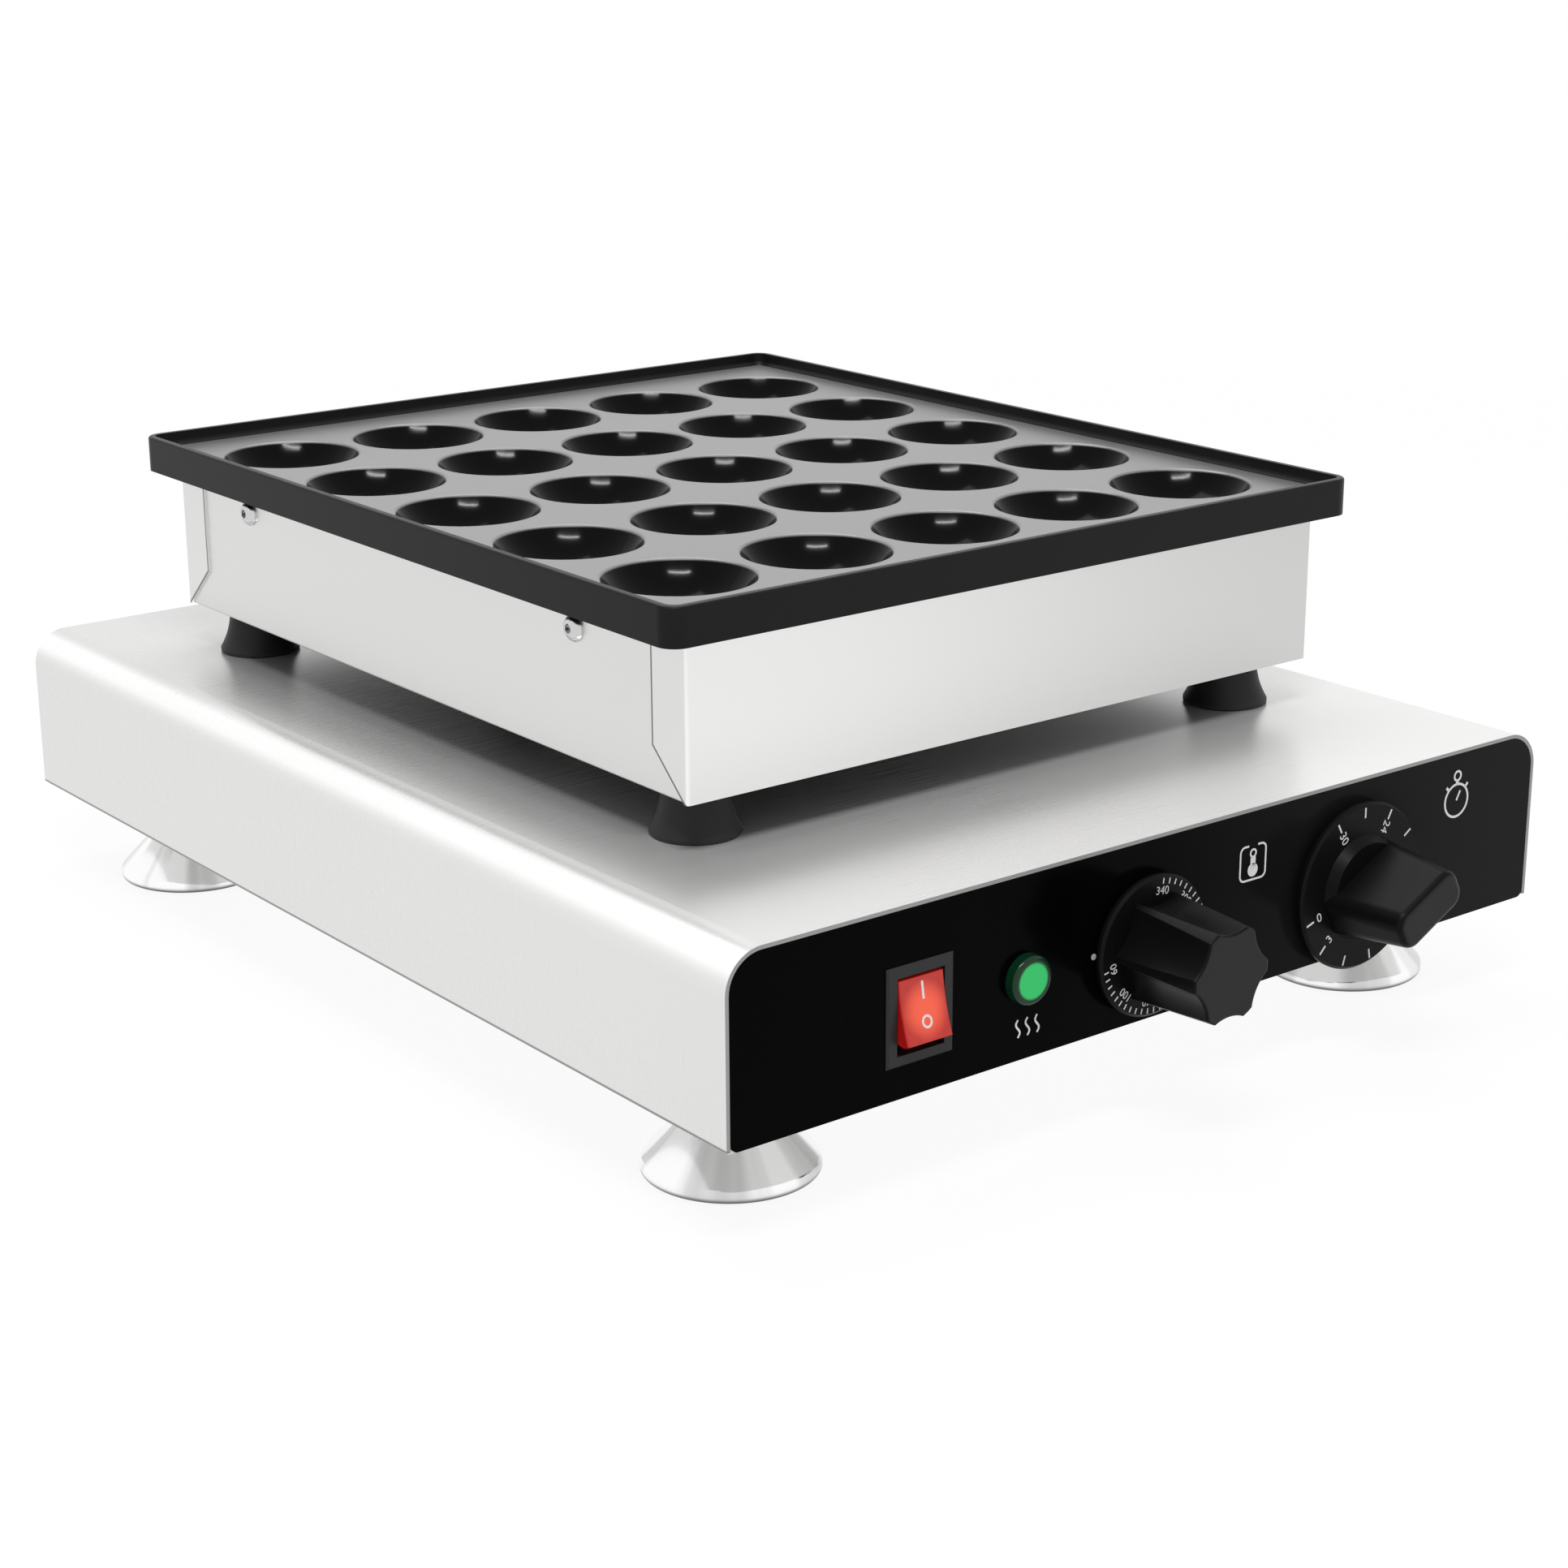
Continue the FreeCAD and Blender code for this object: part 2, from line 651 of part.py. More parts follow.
def heating_element(side):
    """A hairpin heater round the bowls, with its cold ends turned down at the back."""
    level = z_floor - d.element_drop
    outer = side * d.pitch_x * 1.5
    inner = side * d.pitch_x * 0.5
    bottom = z_floor - 34
    bend = d.pitch_x / 2
    front = y_tray - 2 * d.pitch_y - bend
    back = element_end_y
    turn_down = back - 12
    hairpin = [(outer, turn_down, level), (outer, front, level),
               (inner, front, level), (inner, turn_down, level)]
    loop = tube(hairpin, d.element_radius, bend)
    ends = []
    for x in (outer, inner):
        cold_end = [(x, turn_down, level), (x, back, level), (x, back, bottom)]
        ends.append(tube(cold_end, d.element_radius, 11.9))
        ends.append(rod(1.6, 8, (x, back, bottom - 8)))
    return fuse([loop] + ends)


def element_clamps():
    """Flat bars across the elements."""
    level = z_floor - d.element_drop - d.element_radius - 1.7
    bars = []
    for y in clamp_y:
        bar = centred_block((190, 12, 1.5), (0, y, level))
        bars.append(cut(bar, [rod(d.screw_radius + 0.1, 4, (x, y, level - 1)) for x in clamp_x]))
    return group(bars)


def clamp_screws():
    level = z_floor - d.element_drop - d.element_radius - 1.7
    return group([screw((x, y, level), FACING_DOWN, d.screw_radius, z_under - level + 3, 3.5, 2)
                  for x in clamp_x for y in clamp_y])


def reflector_plate():
    width = d.box_width - 10
    return block((width, 256, 0.8), (-width / 2, y_tray - 140, z_floor - d.reflector_drop - 0.8))


def insulation_pad():
    low = z_box + d.box_sheet
    return block((196, 252, z_floor - d.reflector_drop - 0.8 - low), (-98, y_tray - 138, low))


# Controls

def control_body(case, spot):
    """A control behind the panel: its case, a bush that the shaft turns in and two tapped holes."""
    x, z = spot
    bush = rod(4.9, 3, (x, y_inside - 3, z), ALONG_Y)
    bore = rod(d.shaft_radius + d.play, 24, (x, y_inside - 4, z), ALONG_Y)
    taps = [rod(d.screw_radius + d.play, 6, (x + side * control_screw_offset, y_inside - 1, z), ALONG_Y)
            for side in (-1, 1)]
    return cut(fuse([case, bush]), [bore] + taps)


def thermostat_body():
    """The thermostat's metal box."""
    x, z = knob_spots["thermostat"]
    return control_body(centred_block((36, 30, 30), (x, y_inside + 15, z - 15)), (x, z))


def timer_body():
    """The clockwork timer's round case."""
    x, z = knob_spots["timer"]
    return control_body(rod(21, 34, (x, y_inside, z), ALONG_Y), (x, z))


def control_shaft(spot):
    """A round shaft from inside its control to inside its knob."""
    x, z = spot
    start = y_inside + 18
    length = start - y_front + d.dial_gap + 18
    return rod(d.shaft_radius, length, (x, start, z), FACING_FRONT)


def control_screws():
    spots = [(x + side * control_screw_offset, y_front, z)
             for x, z in knob_spots.values() for side in (-1, 1)]
    return group([screw(spot, FACING_FRONT, d.screw_radius, 6.5, 3.4, 1.6) for spot in spots])


def dial(radius):
    """A dial disc with a bevelled edge on a short hub, in a knob's own frame with +Z out of the panel."""
    hub_back = 1
    profile = [(0, hub_back), (8, hub_back), (8, d.dial_gap), (radius, d.dial_gap),
               (radius, d.dial_gap + d.dial_sheet - 0.8), (radius - 0.8, d.dial_gap + d.dial_sheet),
               (0, d.dial_gap + d.dial_sheet)]
    return turned(profile)


def shaft_socket():
    return rod(d.shaft_radius + 0.02, d.dial_gap + 18 - 0.5, (0, 0, 0.5))


def on_panel(knob, spot):
    """Put a knob made in its own frame on the panel, facing the front."""
    x, z = spot
    return place(knob, (x, y_front, z), FACING_FRONT)


def thermostat_knob():
    """A dial with a tall grip that six shallow flutes run down."""
    face = d.dial_gap + d.dial_sheet
    grip_length = d.knob_reach - face
    grip = cone(16.4, 14.6, grip_length, (0, 0, face))
    flute_radius = 14
    flute_distance = 26.4
    flutes = []
    for step in range(6):
        angle = math.radians(30 + 60 * step)
        spot = (flute_distance * math.cos(angle), flute_distance * math.sin(angle), face)
        flutes.append(rod(flute_radius, grip_length + 1, spot))
    grip = soften(cut(grip, flutes), 1, lambda e: near(middle(e).z, d.knob_reach))
    knob = cut(fuse([dial(d.thermostat_dial), grip]), [shaft_socket()])
    return on_panel(knob, knob_spots["thermostat"])


def timer_knob():
    """A dial with a bar grip on a low hub."""
    face = d.dial_gap + d.dial_sheet
    bar = doc.addObject("Part::Wedge", "bar")
    spans = {"Xmin": -16.4, "Xmax": 16.4, "Zmin": -8.2, "Zmax": 8.2, "X2min": -13.6, "X2max": 13.6,
             "Z2min": -6.6, "Z2max": 6.6, "Ymin": 0, "Ymax": d.timer_reach - face}
    for prop, size in spans.items():
        bind(bar, prop, size)
    bar.Placement = FreeCAD.Placement(Vector(0, 0, face.value), Rotation(Vector(0, 0, 1), 28) * FACING_FRONT)
    bind(bar, "Placement.Base.z", face)
    half_way = (d.timer_reach.value + face.value) / 2
    bar = soften(bar, 5.2, lambda e: abs(middle(e).z - half_way) < 1)
    bar = soften(bar, 2.4, lambda e: near(middle(e).z, d.timer_reach))
    hub = cone(16.5, 14.5, 3, (0, 0, face))
    knob = cut(fuse([dial(d.timer_dial), hub, bar]), [shaft_socket()])
    return on_panel(knob, knob_spots["timer"])


ROCKER_TILT = 14
bezel_height = 1
rocker_width = 16
rocker_half = 9.4
rocker_crown = 6.4
rocker_hollow = 70
y_pivot = y_front + 3


def rocker_housing():
    """The switch's bezel and box, open in front for the rocker."""
    bezel_middle = y_front - bezel_height / 2
    bezel = centred_block((23.6, bezel_height, 29), (d.rocker_x, bezel_middle, z_control - 14.5))
    bezel = soften(bezel, 0.6, lambda e: near(middle(e).y, y_front - bezel_height), "Chamfer")
    case = centred_block((21, 20, 25), (d.rocker_x, y_front + 10, z_control - 12.5))
    well = centred_block((16.8, 14, 22.6), (d.rocker_x, y_front + 4, z_control - 11.3))
    pin_hole = rod(1.01, 20.2, (d.rocker_x - 10.1, y_pivot, z_control), ALONG_X)
    return cut(fuse([bezel, case]), [well, pin_hole])


def rocker_pin():
    return rod(1, 20, (d.rocker_x - 10, y_pivot, z_control), ALONG_X)


def rocker():
    """The rocker tipped to its on side, with a slightly hollow face."""
    section = [(3, -6.5), (3, 6.5), (-rocker_crown + 2, rocker_half), (-rocker_crown, rocker_half - 0.3),
               (-rocker_crown, -rocker_half + 0.3, -rocker_hollow), (-rocker_crown + 2, -rocker_half)]
    body = extruded("YZ_Plane", section, rocker_width)
    rounded(body, 0.8, lambda e: is_circle(e, rocker_hollow))
    place(body, (0, 0, 0))
    bore = rod(1.06, rocker_width + 2, (-1, 0, 0), ALONG_X)
    return place(cut(body, [bore]), (d.rocker_x - rocker_width / 2, y_pivot, z_control),
                 Rotation(Vector(1, 0, 0), -ROCKER_TILT))


def switch_tabs():
    return group([block((4.8, 9, 0.8), (d.rocker_x - 2.4, y_front + 20, z_control + offset))
                  for offset in (-8, 0, 8)])


def pilot_body():
    """The lamp's barrel with the bright disc that shows through the lens."""
    barrel = rod(5.9, 22, (d.lamp_x, y_front, z_control), ALONG_Y)
    disc = rod(5, 2.3, (d.lamp_x, y_front, z_control), FACING_FRONT)
    return fuse([barrel, disc])


def pilot_lens():
    """The hollow green cap on the panel."""
    profile = [(5.3, 0), (7.3, 0), (7.3, 2.4), (6.1, 3.6, 1.2), (0, 3.6), (0, 2.6), (5.3, 2.6)]
    return place(turned(profile), (d.lamp_x, y_front, z_control), FACING_FRONT)


def pilot_nut():
    return nut((d.lamp_x, y_inside, z_control), ALONG_Y, 9, 5.95, 3)


# Wiring and lead inlet

terminal_size = (46, 22, 18)


def terminal_block():
    block_low = (-23, conduit_spot[1] - 11, z_cover)
    body = block(terminal_size, block_low)
    pockets = [rod(2.6, 7, (x, conduit_spot[1] - 7, z_cover + 12)) for x in (-16, -8, 8, 16)]
    return cut(body, pockets)


def terminal_screws():
    return group([rod(2.4, 4, (x, conduit_spot[1] - 7, z_cover + 12)) for x in (-16, -8, 8, 16)])


def earth_stud():
    return hex_bolt((-60, y_back - 40, z_cover), UPRIGHT, d.bolt_radius, 3, 4.6, 8)


def wire_conduit():
    """The metal pipe that carries the wires from the base up into the heater box."""
    low = z_top - 8
    length = z_box + 4.5 - low
    return cut(rod(d.conduit_radius, length, (*conduit_spot, low)),
               [rod(d.conduit_radius - 1, length + 2, (*conduit_spot, low - 1))])


def conduit_bushes():
    """Rubber bushes round the pipe where it passes the two sheets."""
    bushes = []
    for level, thickness in ((z_top - d.cover_sheet, d.cover_sheet), (z_box, d.box_sheet)):
        ring = fuse([rod(d.conduit_radius + 2.8, thickness + 2, (*conduit_spot, level - 1)),
                     rod(d.conduit_radius + 5, 2, (*conduit_spot, level + thickness)),
                     rod(d.conduit_radius + 5, 2, (*conduit_spot, level - 2))])
        bushes.append(cut(ring, [rod(d.conduit_radius + 0.1, 12, (*conduit_spot, level - 5))]))
    return group(bushes)


def heater_leads():
    """One wire from each cold end of the elements down through the pipe to the terminal block."""
    wires = []
    pin_end = z_floor - 34 - 8
    for x, offset, level in zip(element_ends, (3.2, -3.2, -3.2, 3.2), (7, 10.5, 10.5, 7)):
        spot = (-3 if x.value < 0 else 3, conduit_spot[1] + offset)
        run = z_box + level
        points = [(x, element_end_y, pin_end), (x, element_end_y, run), (*spot, run),
                  (*spot, z_cover + terminal_size[2])]
        wires.append(tube(points, 1.2, 2.5))
    return group(wires)


def thermostat_bulb():
    """The sensing bulb under the plate and its capillary down to the thermostat."""
    level = z_floor - d.element_drop
    y_bulb = y_tray - d.pitch_y / 2
    bulb = rod(3, 32, (-18, y_bulb, level), ALONG_X)
    low = z_floor - 20.5
    run = z_top - 20
    y_end = y_inside + 30
    points = [(14, y_bulb, level), (20, y_bulb, level), (20, y_bulb, low), (20, conduit_spot[1] - 20, low),
              (*conduit_spot, low), (*conduit_spot, run), (0, y_end + 60, run),
              (d.thermostat_x, y_end + 30, z_control), (d.thermostat_x, y_end, z_control)]
    return fuse([bulb, tube(points, 0.8, 5.5)])


def gland_body():
    """The gland's barrel through the back wall, its hexagon and the nose under the dome."""
    inside = pan_back - d.cover_sheet - 8
    nose = y_back + d.gland_reach - 3
    parts = [rod(8, nose - inside, (d.gland_x, inside, z_control), ALONG_Y),
             hexagon(12.5, 5, (d.gland_x, pan_back, z_control), ALONG_Y)]
    bore = rod(d.gland_bore, nose - inside + 2, (d.gland_x, inside - 1, z_control), ALONG_Y)
    return cut(fuse(parts), [bore])


def gland_dome():
    start = pan_back + 5.2
    length = y_back + d.gland_reach - start
    shell = fuse([hexagon(12, 7, (0, 0, 0)), cone(10.4, 8, length - 7, (0, 0, 7))])
    bores = [rod(8.05, length - 2.8, (0, 0, -0.1)), rod(d.gland_bore + 0.4, length + 2, (0, 0, -1))]
    return place(cut(shell, bores), (d.gland_x, start, z_control), ALONG_Y)


def gland_locknut():
    return nut((d.gland_x, pan_back - d.cover_sheet, z_control), FACING_FRONT, 12.5, 8.05, 5)


# The assembly

NODES = []


def node(label, item):
    item.Label = label
    NODES.append(item)


node("base_cover", base_cover())
node("base_pan", base_pan())
node("control_panel", control_panel())
node("cover_screws", cover_screws())
for corner, foot_spot in foot_spots.items():
    node(f"foot_{corner}", foot(foot_spot))
node("foot_pads", foot_pads())
node("foot_nuts", foot_nuts())
for corner, standoff_spot in standoff_spots.items():
    node(f"standoff_{corner}", standoff(standoff_spot))
node("standoff_bolts", standoff_bolts())
node("standoff_nuts", standoff_nuts())
node("heater_pan", heater_pan())
node("heater_front_wall", heater_wall(-1))
node("heater_back_wall", heater_wall(1))
node("side_screws", side_screws())
node("tray_brackets", tray_brackets())
node("bracket_screws", bracket_screws())
node("baking_tray", baking_tray())
node("heating_element_left", heating_element(-1))
node("heating_element_right", heating_element(1))
node("element_clamps", element_clamps())
node("clamp_screws", clamp_screws())
node("reflector_plate", reflector_plate())
node("insulation_pad", insulation_pad())
node("thermostat_body", thermostat_body())
node("thermostat_shaft", control_shaft(knob_spots["thermostat"]))
node("thermostat_knob", thermostat_knob())
node("thermostat_bulb", thermostat_bulb())
node("timer_body", timer_body())
node("timer_shaft", control_shaft(knob_spots["timer"]))
node("timer_knob", timer_knob())
node("control_screws", control_screws())
node("rocker_housing", rocker_housing())
node("rocker_pin", rocker_pin())
node("rocker", rocker())
node("switch_tabs", switch_tabs())
node("pilot_body", pilot_body())
node("pilot_lens", pilot_lens())
node("pilot_nut", pilot_nut())
node("terminal_block", terminal_block())
node("terminal_screws", terminal_screws())
node("earth_stud", earth_stud())
node("wire_conduit", wire_conduit())
node("conduit_bushes", conduit_bushes())
node("heater_leads", heater_leads())
node("gland_body", gland_body())
node("gland_dome", gland_dome())
node("gland_locknut", gland_locknut())

doc.recompute()
for item in doc.Objects:
    if "Invalid" in item.State or "Error" in item.State:
        raise RuntimeError(f"{item.Name} ({item.Label}) failed: {item.State}")
for item in NODES:
    if item.Shape.isNull() or not item.Shape.isValid() or not item.Shape.Solids:
        raise RuntimeError(f"{item.Label} has no valid solid")

os.makedirs("parts", exist_ok=True)
for item in NODES:
    item.Shape.exportStep(f"parts/{item.Label}.step")
    print(item.Label, len(item.Shape.Solids), round(item.Shape.Volume), item.Shape.BoundBox)
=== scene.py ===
"""Looks of the tabletop mini-pancake maker: finishes for every CAD piece, the prints on its panel, dials
and switch, and the studio it stands in. Metres, in the CAD model's frame: +Z up, the control panel facing -Y.
"""
import math

import bpy
from mathutils import Matrix, Vector
from mathutils.bvhtree import BVHTree


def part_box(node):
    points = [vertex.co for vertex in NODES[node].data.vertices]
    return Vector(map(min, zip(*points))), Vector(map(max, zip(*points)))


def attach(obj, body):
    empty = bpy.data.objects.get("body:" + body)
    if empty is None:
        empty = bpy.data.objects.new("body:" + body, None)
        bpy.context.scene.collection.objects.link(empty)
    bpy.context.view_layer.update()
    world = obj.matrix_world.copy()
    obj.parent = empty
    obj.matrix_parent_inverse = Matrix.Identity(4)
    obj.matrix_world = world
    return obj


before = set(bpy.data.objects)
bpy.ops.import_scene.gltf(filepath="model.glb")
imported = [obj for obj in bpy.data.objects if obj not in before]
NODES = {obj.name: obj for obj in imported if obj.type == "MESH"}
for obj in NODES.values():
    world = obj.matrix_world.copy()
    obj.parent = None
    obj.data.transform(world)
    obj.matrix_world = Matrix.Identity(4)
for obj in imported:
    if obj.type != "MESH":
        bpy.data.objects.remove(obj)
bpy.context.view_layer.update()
MM = 0.001


def middle_of(node):
    low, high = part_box(node)
    return (low + high) / 2


# Shader building

NEUTRAL = (1.0, 1.0, 1.0)


def even(scale):
    return (scale, scale, scale)


def grey(level, tint=NEUTRAL):
    return (*(level * channel for channel in tint), 1.0)


class Value:
    """One output of a node. Arithmetic on it adds Math nodes."""

    def __init__(self, nodes, socket):
        self.nodes = nodes
        self.socket = socket

    def math(self, operation, *others):
        inputs = dict(enumerate((self, *others)))
        return self.nodes.node("ShaderNodeMath", {"operation": operation}, inputs)

    def __add__(self, other):
        return self.math("ADD", other)

    def __sub__(self, other):
        return self.math("SUBTRACT", other)

    def __rsub__(self, other):
        return self * -1.0 + other

    def __mul__(self, other):
        return self.math("MULTIPLY", other)

    def __truediv__(self, other):
        return self.math("DIVIDE", other)

    def __neg__(self):
        return self * -1.0

    def __abs__(self):
        return self.math("ABSOLUTE")

    def larger(self, other):
        return self.math("MAXIMUM", other)

    def smaller(self, other):
        return self.math("MINIMUM", other)

    def distance(self, other):
        """How far the point with these two coordinates is from zero."""
        return (self * self + other * other).math("SQRT")

    def ramp(self, low, high):
        """0 below low, 1 above high and a smooth rise between them."""
        return self.nodes.node("ShaderNodeMapRange", {"interpolation_type": "SMOOTHSTEP", "clamp": True},
                               {"Value": self, "From Min": low, "From Max": high})


class Nodes:
    """A node tree that nodes are added to."""

    def __init__(self, tree):
        self.tree = tree

    def node(self, kind, settings=None, sockets=None, output=0):
        """Add a node: its settings first, then the values or links of its sockets."""
        node = self.tree.nodes.new(kind)
        for name, value in (settings or {}).items():
            setattr(node, name, value)
        for name, value in (sockets or {}).items():
            self.feed(node.inputs[name], value)
        return Value(self, node.outputs[output])

    def feed(self, socket, value):
        if isinstance(value, Value):
            self.tree.links.new(value.socket, socket)
        else:
            socket.default_value = value

    def seen(self):
        """1 for what the camera sees straight on, in a mirror or through glass."""
        rays = [self.node("ShaderNodeLightPath", output=f"Is {kind} Ray")
                for kind in ("Camera", "Glossy", "Transmission")]
        return rays[0].larger(rays[1]).larger(rays[2])

    def mix_shader(self, share, first, second):
        return self.node("ShaderNodeMixShader", sockets={0: share, 1: first, 2: second})

    def surface(self, shader):
        output = next(node for node in self.tree.nodes if node.name.endswith("Output"))
        self.feed(output.inputs["Surface"], shader)


class Finish(Nodes):
    """A node material round one Principled shader."""

    def __init__(self, name, **constants):
        self.material = bpy.data.materials.new(name)
        self.material.use_nodes = True
        super().__init__(self.material.node_tree)
        self.shader = self.tree.nodes["Principled BSDF"]
        self.set(**constants)

    def set(self, **sockets):
        for name, value in sockets.items():
            self.feed(self.shader.inputs[name.replace("_", " ")], value)
        return self.material

    def main_shader(self):
        return Value(self, self.shader.outputs[0])

    def place(self):
        """The point on the object, in the CAD frame at rest."""
        return self.node("ShaderNodeTexCoord", output="Object")

    def axis(self, letter, source="Object"):
        point = self.node("ShaderNodeTexCoord", output=source)
        return self.node("ShaderNodeSeparateXYZ", sockets={0: point}, output=letter)

    def facing(self, letter):
        """How far the surface faces along an axis, from -1 to 1."""
        return self.axis(letter, "Normal")

    def faces(self, letter, way):
        """1 where the surface faces one way along an axis; way is 1 or -1."""
        return (self.facing(letter) * way).ramp(0.75, 0.95)

    def noise(self, scale, detail=4.0, roughness=0.55):
        """Noise of so many patches to the metre along each axis."""
        scaled = self.node("ShaderNodeVectorMath", {"operation": "MULTIPLY"}, {0: self.place(), 1: scale})
        return self.node("ShaderNodeTexNoise", {"noise_dimensions": "3D"},
                         {"Vector": scaled, "Scale": 1.0, "Detail": detail, "Roughness": roughness})

    def blend(self, share, first, second):
        inputs = {"Factor": share, 6: first, 7: second}
        return self.node("ShaderNodeMix", {"data_type": "RGBA"}, inputs, output=2)

    def mottled(self, share, level, spread, tint=NEUTRAL):
        """A grey round level, which share takes from darker to lighter by the part spread."""
        dark, light = (grey(level * (1.0 + change), tint) for change in (-spread, spread))
        return self.blend(share, dark, light)

    def bump(self, height, depth, strength):
        inputs = {"Height": height, "Distance": depth, "Strength": strength}
        return self.node("ShaderNodeBump", sockets=inputs)

    def away_from(self, middle, reach):
        """Squared distance in the panel's plane, in units of reach (X and Z) from the middle."""
        across = (self.axis("X") - middle.x) / reach[0]
        along = (self.axis("Z") - middle.z) / reach[1]
        return across * across + along * along


# Finishes

STEEL_TINT = (1.0, 0.997, 0.99)
# Brushed grain, in patches to the metre along X, Y and Z: few along the strokes, many across them
ALONG_X = (24.0, 24.0, 3200.0)
ALONG_Y = (900.0, 24.0, 3200.0)
ROUND_Y = (24.0, 3200.0, 24.0)
# The painted shadow line along a sheet's cut edge fades out between these distances from the edge
EDGE_SHADOW_LINE = (0.4 * MM, 0.9 * MM)


class Steel(Finish):
    """Satin stainless sheet. Its brightness and roughness vary a little with the grain and in wide clouds."""

    def __init__(self, name, grain, bright, rough, metal=1.0):
        super().__init__(name, Metallic=metal)
        lines = self.noise(grain, detail=3.0, roughness=0.7)
        cloud = self.noise(even(9.0), detail=2.0)
        self.streak = lines * 0.6 + cloud * 0.4
        self.colour = self.tone(bright)
        self.roughness = lines * 0.05 + cloud * 0.06 + (rough - 0.055)
        self.set(Normal=self.bump(lines, depth=0.02 * MM, strength=0.03))

    def tone(self, level):
        return self.mottled(self.streak, level, spread=0.03, tint=STEEL_TINT)

    def shade(self, share, level, rougher=0.0):
        """Take another brightness where share is 1, and be so much rougher there."""
        self.colour = self.blend(share, self.colour, self.tone(level))
        if rougher:
            self.roughness = self.roughness + share * rougher

    def burnish_bends(self):
        """Bends get a painted highlight: there the surface faces between two axes."""
        flat = abs(self.facing("X")).larger(abs(self.facing("Y"))).larger(abs(self.facing("Z")))
        self.shade((1.0 - flat).ramp(0.01, 0.2), level=0.93)

    def done(self):
        return self.set(Base_Color=self.colour, Roughness=self.roughness)


def base_cover_steel():
    """The base's cover, with painted shade on its top towards the back, painted highlights on its bends and a
    painted shadow line along its lower edge; its sheared front edges are dull.
    """
    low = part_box("base_cover")[0]
    steel = Steel("base_cover_steel", ROUND_Y, bright=0.755, rough=0.28, metal=0.56)
    # Painted shade: the top is a little darker towards the back.
    painted_shade_towards_back = steel.axis("Y").ramp(-0.12, 0.16)
    steel.shade(steel.faces("Z", 1.0) * painted_shade_towards_back, level=0.64)
    steel.burnish_bends()
    steel.shade(steel.faces("Y", -1.0), level=0.3, rougher=0.15)
    # Painted shadow line along the cover's lower edge.
    clear_of_edge_shadow = steel.axis("Z").ramp(*(low.z + distance for distance in EDGE_SHADOW_LINE))
    steel.shade(1.0 - clear_of_edge_shadow, level=0.25)
    return steel.done()


def base_pan_steel():
    """The base's pan, with painted light making it brighter underneath."""
    steel = Steel("base_pan_steel", ALONG_X, bright=0.6, rough=0.4)
    # Painted light: the underside is brighter.
    steel.shade(steel.faces("Z", -1.0), level=0.78)
    return steel.done()


def box_side_steel():
    """The box's pan; its bottom is painted near-black as shade for the gap under the box."""
    steel = Steel("box_side_steel", ALONG_Y, bright=0.73, rough=0.34)
    # Painted shade: the bottom is near-black.
    steel.shade(steel.faces("Z", -1.0), level=0.006, rougher=0.15)
    return steel.done()


def box_end_steel():
    """The box's front and back wall, with painted shade that makes them a little darker towards +X and
    near-black underneath, and painted highlights on their bends.
    Their flanges on the box's sides are toned like the sides and end in a painted shadow line."""
    flange, bend, cut_slope = 16.4 * MM, 1.4 * MM, 15.0 / 16.0
    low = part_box("heater_front_wall")[0]
    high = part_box("heater_back_wall")[1]
    steel = Steel("box_end_steel", ALONG_X, bright=0.86, rough=0.34)
    # Painted shade: darker towards +X.
    steel.shade(steel.axis("X").ramp(low.x, high.x), level=0.64)
    on_side = abs(steel.facing("X")).ramp(0.7, 0.9)
    steel.shade(on_side, level=0.75)
    steel.burnish_bends()
    inset = (high.y - low.y) / 2 - abs(steel.axis("Y") - (low.y + high.y) / 2)
    over_cut = (steel.axis("Z") - low.z - (inset - bend) * cut_slope) * math.cos(math.atan(cut_slope))
    to_edge = (flange - inset).smaller(over_cut)
    # Painted shadow line where the flanges end.
    steel.shade(on_side * (1.0 - to_edge.ramp(*EDGE_SHADOW_LINE)), level=0.16)
    # Painted shade: faces turned down are near-black.
    steel.shade(steel.faces("Z", -1.0), level=0.05, rougher=0.15)
    return steel.done()


def plated_sheet():
    """Zinc-plated sheet: every cell of its spangle shines a little differently."""
    tint = (0.98, 1.0, 1.03)
    finish = Finish("zinc_plate", Metallic=1.0)
    spangle = finish.node("ShaderNodeTexVoronoi", {"feature": "F1"},
                          {"Vector": finish.place(), "Scale": 240.0}, output="Color")
    patch = finish.noise(even(60.0))
    colour = finish.blend(patch, grey(0.48, tint), grey(0.62, tint))
    cell = finish.node("ShaderNodeSeparateXYZ", sockets={0: spangle})
    return finish.set(Base_Color=colour, Roughness=cell * 0.18 + 0.3,
                      Normal=finish.bump(patch, depth=0.03 * MM, strength=0.3))


def fastener_metal():
    """Bright metal with faint level lines, the turning marks of the upright bolts."""
    finish = Finish("bright_fastener", Metallic=1.0)
    rings = finish.noise((20.0, 20.0, 2600.0), detail=2.0)
    cloud = finish.noise(even(45.0), detail=2.0)
    colour = finish.blend(cloud, grey(0.58), grey(0.65))
    return finish.set(Base_Color=colour, Roughness=cloud * 0.05 + rings * 0.04 + 0.12,
                      Normal=finish.bump(rings, depth=0.006 * MM, strength=0.25))


